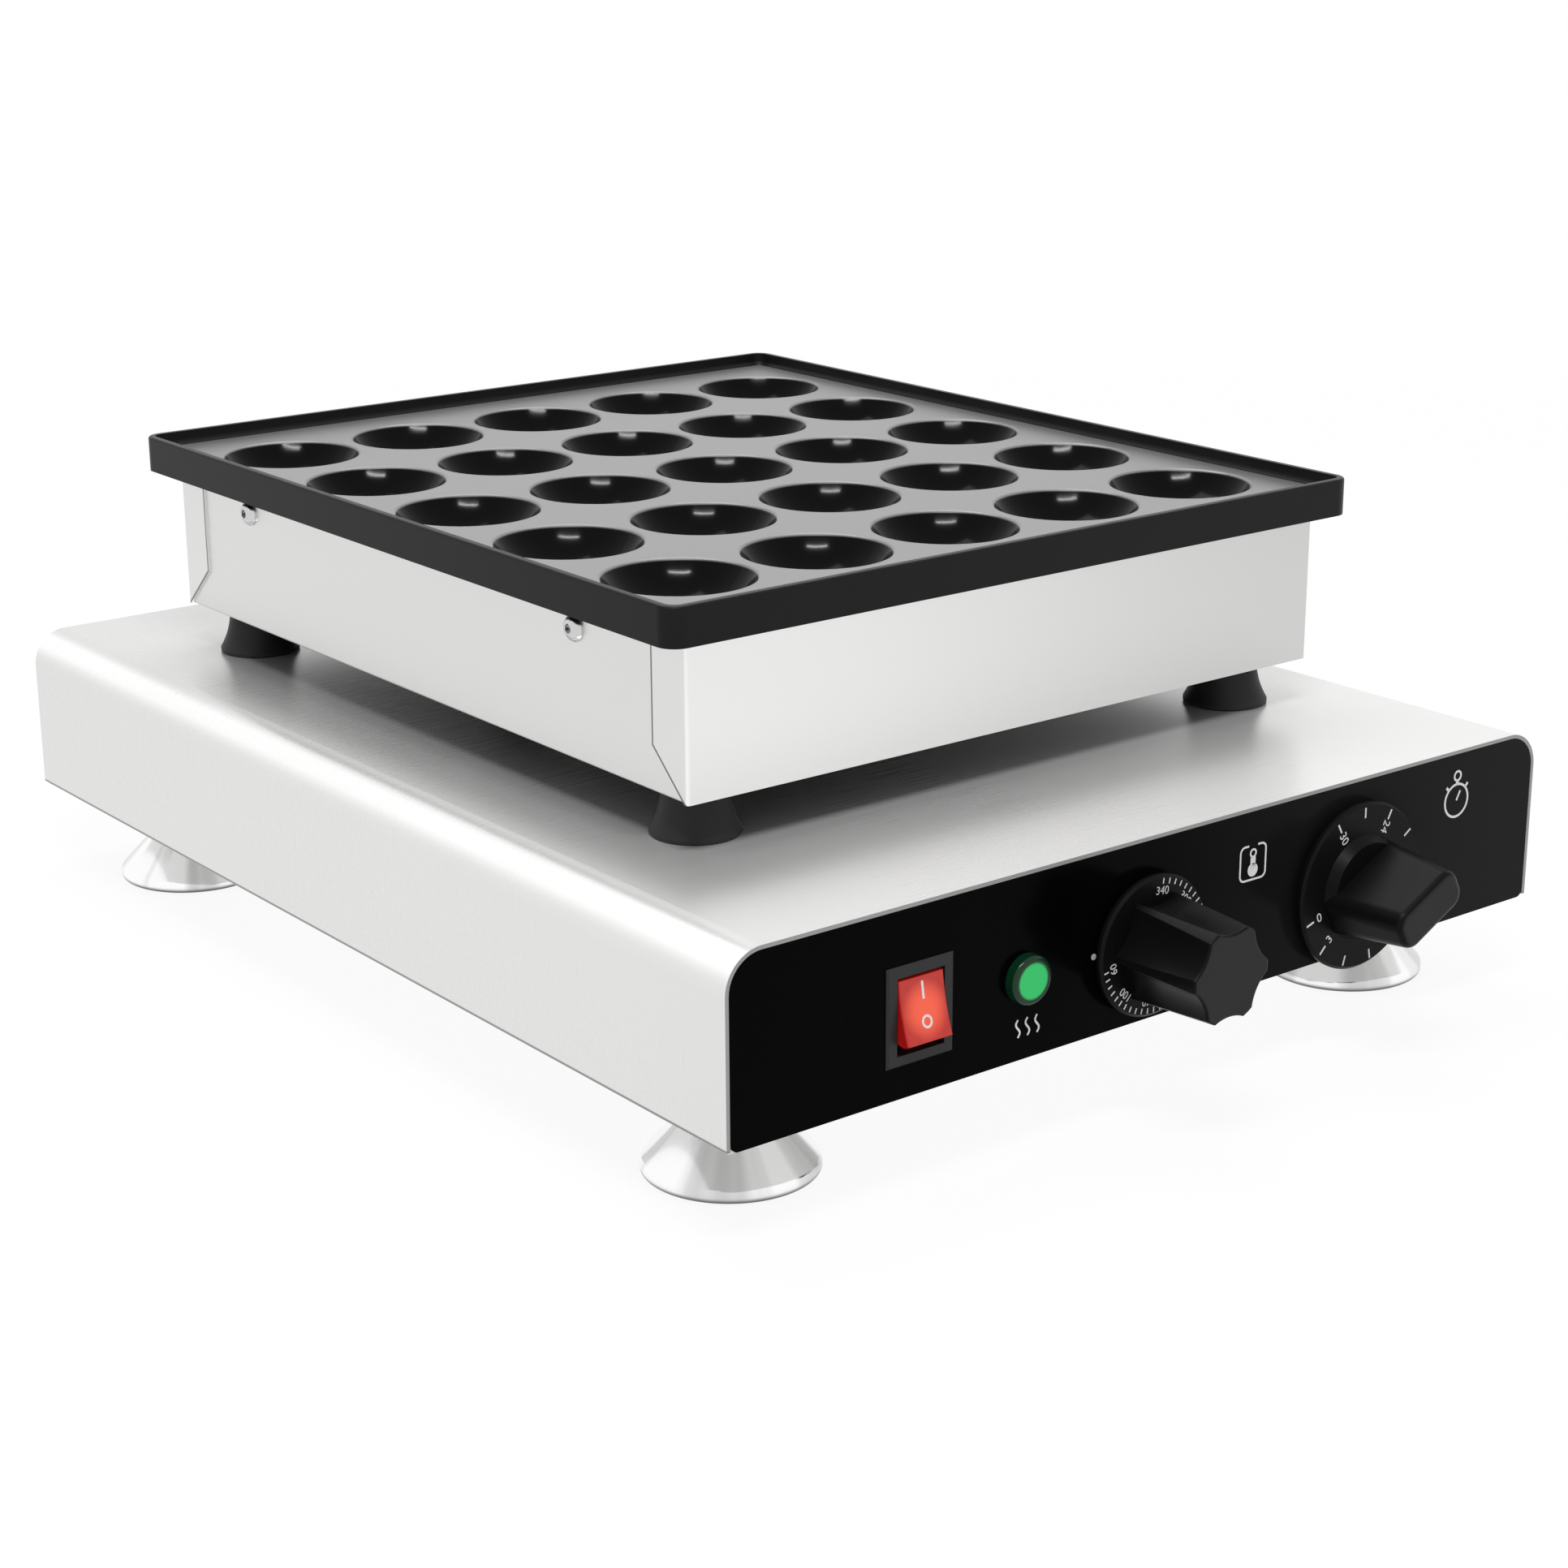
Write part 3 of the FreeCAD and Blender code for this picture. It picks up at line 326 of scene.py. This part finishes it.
def foot_chrome():
    """Turned, polished feet: painted fans of reflected light and shade run out from the neck; painted shade
    darkens the rim's lower edge.
    """
    rim_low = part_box("foot_front_left")[0].z
    first = middle_of("foot_front_left")
    middle = (first + middle_of("foot_back_right")) / 2
    finish = Finish("foot_chrome", Metallic=1.0)
    across = abs(finish.axis("X") - middle.x) - (middle.x - first.x)
    along = abs(finish.axis("Y") - middle.y) - (middle.y - first.y)
    away = across.distance(along)
    spoke = finish.node("ShaderNodeCombineXYZ", sockets={0: across / away, 1: along / away})
    painted_reflection_fan = finish.node("ShaderNodeTexNoise", sockets={"Vector": spoke, "Scale": 1.7, "Detail": 2.0})
    # Painted reflection: fans of light and shade round each foot.
    colour = finish.blend(painted_reflection_fan.ramp(0.36, 0.54), grey(0.62), grey(0.98))
    # Painted shade along the rim's lower edge.
    above_painted_shade = finish.axis("Z").ramp(rim_low + 0.6 * MM, rim_low + 2.0 * MM)
    return finish.set(Base_Color=finish.blend(above_painted_shade, grey(0.14), colour), Roughness=painted_reflection_fan * 0.1 + 0.12)


def panel_gloss():
    """Deep black gloss sheet with the slightest orange peel and dust, and a painted sheen that makes it a
    little greyer towards +X.
    """
    finish = Finish("panel_gloss", Specular_IOR_Level=0.02)
    peel = finish.noise(even(420.0), detail=2.0)
    dust = finish.noise(even(2600.0), detail=1.0).ramp(0.7, 0.82)
    # Painted sheen: a little greyer towards +X.
    painted_sheen = finish.axis("X").ramp(-0.05, 0.16)
    black = finish.blend(painted_sheen, grey(0.001), grey(0.016))
    colour = finish.blend(dust * 0.2, black, grey(0.03))
    return finish.set(Base_Color=colour, Roughness=peel * 0.06 + 0.14,
                      Normal=finish.bump(peel, depth=0.01 * MM, strength=0.2))


def tray_coating():
    """Non-stick coating: grey on the flat floor, partly its own colour and partly a painted reflection, satin
    black on the rim and skirt, reaching over the inner fillet as painted shade, and painted shade in a deep
    glossy black down in the bowls."""
    rim_height, rim_wall = 4.4 * MM, 2.4 * MM
    low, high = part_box("baking_tray")
    floor_z = high.z - rim_height
    half = (high - low) / 2
    middle = (high + low) / 2
    finish = Finish("tray_coating", Specular_IOR_Level=0.12)
    speck = finish.noise(even(2200.0), detail=2.0)
    cloud = finish.noise(even(30.0), detail=3.0)
    mottle = speck * 0.5 + cloud * 0.5
    bump = finish.bump(speck, depth=0.02 * MM, strength=0.3)
    finish.set(Base_Color=finish.blend(mottle, grey(0.005), grey(0.01)),
               Roughness=cloud * 0.08 + speck * 0.06 + 0.28, Normal=bump)
    # The floor's grey is partly the coating's own and partly a painted reflection.
    floor = finish.node("ShaderNodeBsdfPrincipled", sockets={
        "Base Color": finish.blend(mottle, grey(0.085), grey(0.115)), "Specular IOR Level": 1.0,
        "Coat Weight": 0.5, "Coat Roughness": 0.3, "Normal": bump,
        "Roughness": cloud * 0.08 + speck * 0.06 + 0.33})
    # Painted shade: the bowls are a deeper black than the rim.
    bowl = finish.node("ShaderNodeBsdfPrincipled", sockets={
        "Base Color": finish.blend(mottle, grey(0.0003), grey(0.0007)), "Specular IOR Level": 0.08,
        "Roughness": cloud * 0.03 + 0.115})
    height = finish.axis("Z")
    sunk = 1.0 - height.ramp(floor_z - 0.9 * MM, floor_z - 0.2 * MM)
    # The rim's black starts just above the floor, so it covers the inner fillet as painted shade where floor
    # meets wall.
    rim = height.ramp(floor_z + 0.05 * MM, floor_z + 0.3 * MM)
    for letter, reach, centre in (("X", half.x, middle.x), ("Y", half.y, middle.y)):
        off_centre = abs(finish.axis(letter) - centre)
        rim_inside = reach - rim_wall
        rim = rim.larger(off_centre.ramp(rim_inside - 2.0 * MM, rim_inside - 1.2 * MM))
    inside = finish.mix_shader(sunk, floor, bowl)
    finish.surface(finish.mix_shader(rim, inside, finish.main_shader()))
    return finish.material


def black_rubber():
    finish = Finish("black_rubber", Specular_IOR_Level=0.25)
    skin = finish.noise(even(900.0), detail=5.0)
    bloom = finish.noise(even(70.0), detail=3.0)
    colour = finish.blend(bloom, grey(0.009), grey(0.02))
    return finish.set(Base_Color=colour, Roughness=bloom * 0.15 + 0.45,
                      Normal=finish.bump(skin, depth=0.05 * MM, strength=0.35))


def moulded_plastic(name, level, rough, shine=0.25, painted_front_light=None):
    """Black moulding with the fine spark-eroded grain of its mould.
    If given, the last argument holds the grey of painted light on front ends that stand further out than the
    Y given with it."""
    finish = Finish(name, Specular_IOR_Level=shine)
    grain = finish.noise(even(1500.0), detail=3.0)
    flow = finish.noise(even(55.0), detail=2.0)
    mottle = flow * 0.6 + grain * 0.4
    colour = finish.mottled(mottle, level, spread=0.25, tint=(1.0, 1.0, 1.02))
    if painted_front_light:
        painted_light_grey, limit = painted_front_light
        # Painted light: front ends facing -Y are lighter.
        front = (-finish.facing("Y")).ramp(0.8, 0.98) * (-finish.axis("Y")).ramp(-limit, 2.0 * MM - limit)
        colour = finish.blend(front, colour, finish.mottled(mottle, painted_light_grey, spread=0.15))
    return finish.set(Base_Color=colour, Roughness=grain * 0.1 + flow * 0.06 + (rough - 0.08),
                      Normal=finish.bump(grain, depth=0.02 * MM, strength=0.3))


def lit_red():
    """The rocker's red plastic, glowing orange round the lamp behind its middle; painted shade makes its
    flanks a deeper red.
    """
    glow_reach = (8.0 * MM, 8.5 * MM)
    finish = Finish("lit_red", Specular_IOR_Level=0.35, Emission_Strength=0.5)
    glow = 1.0 - finish.away_from(middle_of("rocker"), glow_reach).ramp(0.0, 1.1)
    mottle = finish.noise(even(260.0), detail=2.0)
    colour = finish.blend(mottle, (0.36, 0.022, 0.016, 1.0), (0.42, 0.03, 0.022, 1.0))
    light = finish.blend(glow, (0.16, 0.002, 0.001, 1.0), (1.0, 0.17, 0.075, 1.0))
    # Painted shade: the flanks facing ±X are a deeper, darker red and glow less.
    shaded_flank = abs(finish.facing("X")).ramp(0.4, 0.9)
    colour = finish.blend(shaded_flank, colour, (0.36, 0.006, 0.005, 1.0))
    light = finish.blend(shaded_flank, light, (0.05, 0.0, 0.0, 1.0))
    return finish.set(Base_Color=colour, Emission_Color=light, Roughness=mottle * 0.08 + 0.24,
                      Normal=finish.bump(mottle, depth=0.02 * MM, strength=0.2))


def green_lens():
    """Green cap, bright in the middle and darker towards its moulded edge."""
    radius = 7.3 * MM
    finish = Finish("green_lens", Specular_IOR_Level=0.25, Emission_Strength=0.5)
    edge = finish.away_from(middle_of("pilot_lens"), (radius, radius)).ramp(0.42, 0.62)
    ripple = finish.noise((700.0, 300.0, 700.0), detail=2.0)
    colour = finish.blend(edge, (0.015, 0.28, 0.08, 1.0), (0.003, 0.022, 0.009, 1.0))
    light = finish.blend(edge, (0.015, 0.46, 0.09, 1.0), (0.0, 0.008, 0.003, 1.0))
    return finish.set(Base_Color=colour, Emission_Color=light, Roughness=ripple * 0.1 + 0.12,
                      Normal=finish.bump(ripple, depth=0.05 * MM, strength=0.2))


def lamp_disc():
    """The green lamp behind the lens."""
    finish = Finish("lamp_disc", Emission_Strength=0.5)
    ripple = finish.noise(even(500.0))
    colour = finish.blend(ripple, (0.03, 0.5, 0.14, 1.0), (0.05, 0.6, 0.18, 1.0))
    return finish.set(Base_Color=colour, Emission_Color=colour, Roughness=ripple * 0.2 + 0.3)


def heater_sheath():
    """Tube darkened by heat, with paler scale on it in patches."""
    finish = Finish("heater_sheath", Metallic=0.85)
    scale = finish.noise((120.0, 60.0, 120.0), detail=5.0)
    colour = finish.blend(scale, (0.10, 0.095, 0.10, 1.0), (0.30, 0.25, 0.21, 1.0))
    return finish.set(Base_Color=colour, Roughness=scale * 0.25 + 0.35,
                      Normal=finish.bump(scale, depth=0.04 * MM, strength=0.4))


def mineral_fibre():
    finish = Finish("mineral_fibre", Specular_IOR_Level=0.1)
    strand = finish.noise((90.0, 700.0, 700.0), detail=6.0)
    colour = finish.blend(strand, (0.62, 0.58, 0.47, 1.0), (0.82, 0.79, 0.70, 1.0))
    return finish.set(Base_Color=colour, Roughness=strand * 0.1 + 0.85,
                      Normal=finish.bump(strand, depth=0.8 * MM, strength=0.8))


def drawn_metal(name, dark, light):
    finish = Finish(name, Metallic=1.0)
    tarnish = finish.noise(even(140.0), detail=4.0)
    colour = finish.blend(tarnish, dark, light)
    return finish.set(Base_Color=colour, Roughness=tarnish * 0.15 + 0.21,
                      Normal=finish.bump(tarnish, depth=0.02 * MM, strength=0.3))


def woven_sleeve():
    """Braided glass-fibre sleeving on the wires."""
    finish = Finish("woven_sleeve", Specular_IOR_Level=0.2)
    braid = finish.node("ShaderNodeTexWave", {"wave_type": "BANDS", "bands_direction": "DIAGONAL"},
                        {"Vector": finish.place(), "Scale": 420.0, "Distortion": 2.0}, output="Fac")
    colour = finish.blend(braid, (0.58, 0.56, 0.5, 1.0), (0.84, 0.82, 0.77, 1.0))
    return finish.set(Base_Color=colour, Roughness=braid * 0.1 + 0.7,
                      Normal=finish.bump(braid, depth=0.1 * MM, strength=0.5))


def white_ink():
    """Screen-printed white ink, thin in places."""
    finish = Finish("white_ink", Specular_IOR_Level=0.2)
    cover = finish.noise(even(1800.0), detail=2.0)
    colour = finish.blend(cover, grey(0.55), grey(0.78))
    return finish.set(Base_Color=colour, Roughness=cover * 0.15 + 0.45,
                      Normal=finish.bump(cover, depth=0.01 * MM, strength=0.2))


# Finishes on the CAD pieces

CORNERS = ("front_left", "front_right", "back_left", "back_right")
FEET = [f"foot_{corner}" for corner in CORNERS]
STANDOFFS = [f"standoff_{corner}" for corner in CORNERS]


def dress(material, *names):
    for name in names:
        slots = NODES[name].data.materials
        slots.clear()
        slots.append(material)


def dress_cad_pieces():
    dress(base_cover_steel(), "base_cover")
    dress(base_pan_steel(), "base_pan")
    dress(box_side_steel(), "heater_pan")
    dress(box_end_steel(), "heater_front_wall", "heater_back_wall")
    dress(panel_gloss(), "control_panel")
    dress(tray_coating(), "baking_tray")
    dress(foot_chrome(), *FEET)
    dress(fastener_metal(), "cover_screws", "foot_nuts", "standoff_bolts", "standoff_nuts", "side_screws",
          "bracket_screws", "clamp_screws", "control_screws", "pilot_nut", "earth_stud", "rocker_pin")
    dress(black_rubber(), *STANDOFFS, "foot_pads", "conduit_bushes")
    panel_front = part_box("control_panel")[0].y
    # The knobs' front ends get painted light in this grey.
    painted_grip_light, grip_reach = 0.024, 22.0 * MM
    knob_black = moulded_plastic("knob_black", level=0.004, rough=0.36, shine=0.07,
                                 painted_front_light=(painted_grip_light, panel_front - grip_reach))
    dress(knob_black, "thermostat_knob", "timer_knob")
    dress(moulded_plastic("bezel_black", level=0.016, rough=0.42), "rocker_housing")
    dress(moulded_plastic("gland_black", level=0.014, rough=0.45), "gland_body", "gland_dome",
          "gland_locknut", "terminal_block")
    dress(lit_red(), "rocker")
    dress(green_lens(), "pilot_lens")
    dress(lamp_disc(), "pilot_body")
    dress(plated_sheet(), "tray_brackets", "element_clamps", "reflector_plate", "wire_conduit",
          "thermostat_body", "thermostat_shaft", "timer_body", "timer_shaft")
    dress(heater_sheath(), "heating_element_left", "heating_element_right")
    dress(mineral_fibre(), "insulation_pad")
    copper = drawn_metal("copper", dark=(0.5, 0.24, 0.14, 1.0), light=(0.78, 0.43, 0.29, 1.0))
    dress(copper, "thermostat_bulb")
    brass = drawn_metal("brass", dark=(0.58, 0.43, 0.18, 1.0), light=(0.8, 0.63, 0.33, 1.0))
    dress(brass, "switch_tabs", "terminal_screws")
    dress(woven_sleeve(), "heater_leads")


# Prints, drawn in the panel's X and Z in millimetres and laid on the surface behind them

# How far the ink stands out of the surface and how far its back lies in it
INK_THICKNESS = 0.05
INK_ROOT = 0.02
FONT_SIZE_TO_HEIGHT = 1.4


def on_circle(middle, radius, degrees):
    angle = math.radians(degrees)
    return Vector((middle[0] + radius * math.cos(angle), middle[1] + radius * math.sin(angle)))


def arc(middle, radius, start, end, steps):
    return [on_circle(middle, radius, start + (end - start) * step / steps) for step in range(steps + 1)]


def ring(middle, radius, steps=24):
    return [on_circle(middle, radius, 360 * step / steps) for step in range(steps)]


class Print:
    """Printed shapes of one piece: flat faces, all counter-clockwise, until they are laid on a surface."""

    def __init__(self):
        self.corners = []
        self.faces = []

    def corner(self, point):
        """Add a corner and return its number."""
        self.corners.append(Vector(point))
        return len(self.corners) - 1

    def disc(self, middle, radius):
        self.faces.append([self.corner(point) for point in ring(middle, radius)])

    def line(self, points, width, closed=False):
        """A stroke of even width along the points."""
        points = [Vector(point) for point in points]
        count = len(points)
        sides = []
        for index, point in enumerate(points):
            before = points[index - 1] if closed or index else point
            after = points[(index + 1) % count] if closed or index < count - 1 else point
            along = (after - before).normalized()
            offset = Vector((-along.y, along.x)) * (width / 2)
            sides.append((self.corner(point + offset), self.corner(point - offset)))
        for index in range(count if closed else count - 1):
            left, right = sides[index]
            next_left, next_right = sides[(index + 1) % count]
            self.faces.append([next_right, next_left, left, right])

    def circle(self, middle, radius, width, steps=24):
        self.line(ring(middle, radius, steps), width, closed=True)

    def spoke(self, middle, degrees, start, end, width):
        """A straight stroke between two distances from the middle."""
        self.line([on_circle(middle, distance, degrees) for distance in (start, end)], width)

    def number(self, text, middle, height, turn):
        """Digits centred on a point and turned by so many degrees."""
        letters = bpy.data.curves.new("digits", "FONT")
        letters.body = text
        letters.size = height * FONT_SIZE_TO_HEIGHT
        letters.align_x = "CENTER"
        letters.align_y = "CENTER"
        letters.resolution_u = 4
        holder = bpy.data.objects.new("digits", letters)
        flat = bpy.data.meshes.new_from_object(holder)
        rotation = Matrix.Rotation(math.radians(turn), 2)
        spots = [Vector(middle) + rotation @ vertex.co.xy for vertex in flat.vertices]
        corners = [self.corner(spot) for spot in spots]
        self.faces += [[corners[index] for index in polygon.vertices] for polygon in flat.polygons]
        bpy.data.objects.remove(holder)
        bpy.data.curves.remove(letters)
        bpy.data.meshes.remove(flat)

    def closed_faces(self):
        """The faces in front, the same faces turned round at the back, and walls along the outer edges.
        A back corner's number is its front corner's plus their count."""
        count = len(self.corners)
        edges = [(face[index - 1], corner) for face in self.faces for index, corner in enumerate(face)]
        known = set(edges)
        outer = [(start, end) for start, end in edges if (end, start) not in known]
        back = [[corner + count for corner in reversed(face)] for face in self.faces]
        walls = [[start, start + count, end + count, end] for start, end in outer]
        return self.faces + back + walls

    def lay_on(self, name, node, body, ink):
        """Make the piece: ink of even thickness on the node's surface, rooted a little way into it."""
        shape = NODES[node].data
        surface = BVHTree.FromPolygons([vertex.co for vertex in shape.vertices],
                                       [polygon.vertices for polygon in shape.polygons])
        far_in_front = -1.0
        to_the_back = Vector((0.0, 1.0, 0.0))
        front, back = [], []
        for corner in self.corners:
            start = Vector((corner.x * MM, far_in_front, corner.y * MM))
            touch = surface.ray_cast(start, to_the_back)[0]
            front.append(touch - to_the_back * (INK_THICKNESS * MM))
            back.append(touch + to_the_back * (INK_ROOT * MM))
        mesh = bpy.data.meshes.new(name)
        mesh.from_pydata(front + back, [], self.closed_faces())
        mesh.materials.append(ink)
        piece = bpy.data.objects.new(name, mesh)
        bpy.context.scene.collection.objects.link(piece)
        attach(piece, body)


def in_panel(node):
    """Middle of a control in the panel's plane, in millimetres."""
    middle = middle_of(node) / MM
    return (middle.x, middle.z)


def thermostat_dial_print(ink):
    """Degrees run round counter-clockwise from just below nine o'clock to the top."""
    middle = in_panel("thermostat_shaft")
    drawing = Print()
    numbers = range(60, 341, 40)
    digit_ring, ticks_each = 16.5, 5
    first, last = 191.0, 443.0
    step = (last - first) / (len(numbers) - 1)
    for index, number in enumerate(numbers):
        degrees = first + step * index
        drawing.number(str(number), on_circle(middle, digit_ring, degrees), height=2.5, turn=degrees - 90)
    for tick in range((len(numbers) - 1) * ticks_each + 1):
        degrees = first + step * tick / ticks_each
        drawing.spoke(middle, degrees, start=20.3, end=18.6, width=0.42)
    drawing.lay_on("thermostat_dial_print", "thermostat_knob", "thermostat_control", ink)


def timer_dial_print(ink):
    """Minutes run round counter-clockwise from below nine o'clock; the digits read inwards."""
    middle = in_panel("timer_shaft")
    drawing = Print()
    digit_ring, minutes_each = 19.4, 3
    first, step = 198.0, 28.05
    numbered = (0, 1, 4, 6, 8, 10)
    for tick in range(11):
        degrees = first + step * tick
        drawing.spoke(middle, degrees, start=25.0, end=21.8, width=0.62)
        if tick in numbered:
            spot = on_circle(middle, digit_ring, degrees)
            drawing.number(str(tick * minutes_each), spot, height=3.0, turn=degrees - 180)
    drawing.lay_on("timer_dial_print", "timer_knob", "timer_control", ink)


def thermometer_sign(drawing, middle):
    """A thermometer in a rounded frame that is open at the top."""
    x, z = middle
    half, corner_radius, half_gap = 5.3, 1.8, 1.9
    bulb = (x, z - 2.3)
    outline = []
    for side_x, side_z, start in ((1, 1, 90), (1, -1, 0), (-1, -1, -90), (-1, 1, -180)):
        corner = (x + side_x * (half - corner_radius), z + side_z * (half - corner_radius))
        outline += arc(corner, corner_radius, start, start - 90, steps=8)
    drawing.line([(x + half_gap, z + half), *outline, (x - half_gap, z + half)], width=0.62)
    drawing.disc(bulb, radius=2.1)
    drawing.line([bulb, (x, z + 1.6)], width=2.1)
    drawing.circle((x, z + 2.9), radius=1.15, width=0.6)


def stopwatch_sign(drawing, middle):
    """A stopwatch: the case with its hand, the stem with its bow, and a button on each side."""
    x, z = middle
    face = (x, z - 1.6)
    drawing.circle(face, radius=5.3, width=0.75, steps=48)
    drawing.spoke(face, 62, start=0.0, end=3.4, width=0.7)
    drawing.line([(x, z + 3.6), (x, z + 5.0)], width=1.3)
    drawing.circle((x, z + 6.4), radius=1.5, width=0.7)
    for side in (45, 135):
        drawing.spoke(face, side, start=5.2, end=7.0, width=0.9)


def heat_sign(drawing, middle):
    """Three rising waves, the usual sign for heat."""
    height, apart, swing, steps = 5.4, 3.6, 0.75, 16
    for shift in (-apart, 0.0, apart):
        wave = []
        for step in range(steps + 1):
            sway = swing * math.sin(math.tau * step / steps)
            wave.append((middle[0] + shift + sway, middle[1] + height * (step / steps - 0.5)))
        drawing.line(wave, width=0.62)


def panel_print(ink):
    """The thermostat's index dot, a sign beside each dial and one under the lamp."""
    index_dot = (-30.5, 54.2)
    drawing = Print()
    drawing.disc(index_dot, radius=0.95)
    thermometer_sign(drawing, middle=(33.2, 68.7))
    stopwatch_sign(drawing, middle=(123.8, 71.0))
    heat_sign(drawing, middle=(-55.4, 39.5))
    drawing.lay_on("panel_print", "control_panel", "base", ink)


def rocker_print(ink):
    """A bar on the rocker's upper half, in short steps that follow its face, and a ring on the lower half."""
    x, z = in_panel("rocker")
    bar_foot, step_length, steps = 2.9, 0.7, 7
    drawing = Print()
    drawing.line([(x, z + bar_foot + step_length * step) for step in range(steps + 1)], width=0.75)
    drawing.circle((x, z - 3.2), radius=1.5, width=0.65)
    drawing.lay_on("rocker_print", "rocker", "switch_rocker", ink)


def print_controls():
    ink = white_ink()
    panel_print(ink)
    thermostat_dial_print(ink)
    timer_dial_print(ink)
    rocker_print(ink)


# Studio

def studio_floor():
    """A pale floor that is white to the camera and in reflections, but keeps the object's shadow. Further
    out it turns as white as the background."""
    half = 6.0
    fade_start, fade_end, shadow_share = 0.5, 1.5, 0.08
    mesh = bpy.data.meshes.new("floor")
    corners = [(-half, -half, 0.0), (half, -half, 0.0), (half, half, 0.0), (-half, half, 0.0)]
    mesh.from_pydata(corners, [], [(0, 1, 2, 3)])
    floor = bpy.data.objects.new("floor", mesh)
    bpy.context.scene.collection.objects.link(floor)
    finish = Finish("floor_white", Roughness=0.9, Specular_IOR_Level=0.0)
    paper = finish.noise(even(400.0))
    finish.set(Base_Color=finish.blend(paper, grey(0.88), grey(0.9)))
    white = finish.node("ShaderNodeEmission", sockets={"Color": grey(1.0), "Strength": 1.0})
    far = finish.axis("X").distance(finish.axis("Y")).ramp(fade_start, fade_end)
    shown = finish.seen() * (far * shadow_share + (1.0 - shadow_share))
    finish.surface(finish.mix_shader(shown, finish.main_shader(), white))
    mesh.materials.append(finish.material)


def studio_world():
    """A white background that lights the object less than it shows."""
    world = bpy.data.worlds.new("studio")
    world.use_nodes = True
    nodes = Nodes(world.node_tree)
    soft, white = (nodes.node("ShaderNodeBackground", sockets={"Color": grey(1.0), "Strength": strength})
                   for strength in (0.55, 1.0))
    nodes.surface(nodes.mix_shader(nodes.seen(), soft, white))
    bpy.context.scene.world = world


def softbox(name, spot, aim, size, watts):
    lamp = bpy.data.lights.new(name, "AREA")
    lamp.shape = "RECTANGLE"
    lamp.size, lamp.size_y = size
    lamp.energy = watts
    item = bpy.data.objects.new(name, lamp)
    item.location = spot
    item.rotation_euler = (Vector(aim) - Vector(spot)).to_track_quat("-Z", "Y").to_euler()
    bpy.context.scene.collection.objects.link(item)


def photo_camera():
    """The camera at the photograph's place, found by fitting the plate, box and base edges."""
    azimuth, elevation, roll = (math.radians(angle) for angle in (-37.8224, 17.7092, -0.2962))
    look = Vector((26.97, 18.23, 40.2)) * MM
    distance = 1057.4 * MM
    back = Vector((math.sin(azimuth) * math.cos(elevation), -math.cos(azimuth) * math.cos(elevation),
                   math.sin(elevation)))
    level = Vector((0.0, 0.0, 1.0)).cross(back).normalized()
    upright = back.cross(level)
    right = level * math.cos(roll) + upright * math.sin(roll)
    up = upright * math.cos(roll) - level * math.sin(roll)
    camera = bpy.data.cameras.new("camera")
    camera.sensor_width = 36.0
    camera.lens = 69.454
    item = bpy.data.objects.new("camera", camera)
    turn = Matrix((right, up, back)).transposed()
    item.matrix_world = Matrix.Translation(look + back * distance) @ turn.to_4x4()
    bpy.context.scene.collection.objects.link(item)
    bpy.context.scene.camera = item


dress_cad_pieces()
print_controls()
studio_floor()
studio_world()
softbox("key", spot=(-0.51, -0.65, 1.43), aim=(0.0, 0.0, 0.12), size=(0.65, 0.03), watts=13.5)
softbox("overhead", spot=(0.2, 0.5, 1.6), aim=(0.0, 0.0, 0.1), size=(1.2, 0.8), watts=12.0)
photo_camera()
bpy.context.scene.view_settings.view_transform = "Standard"
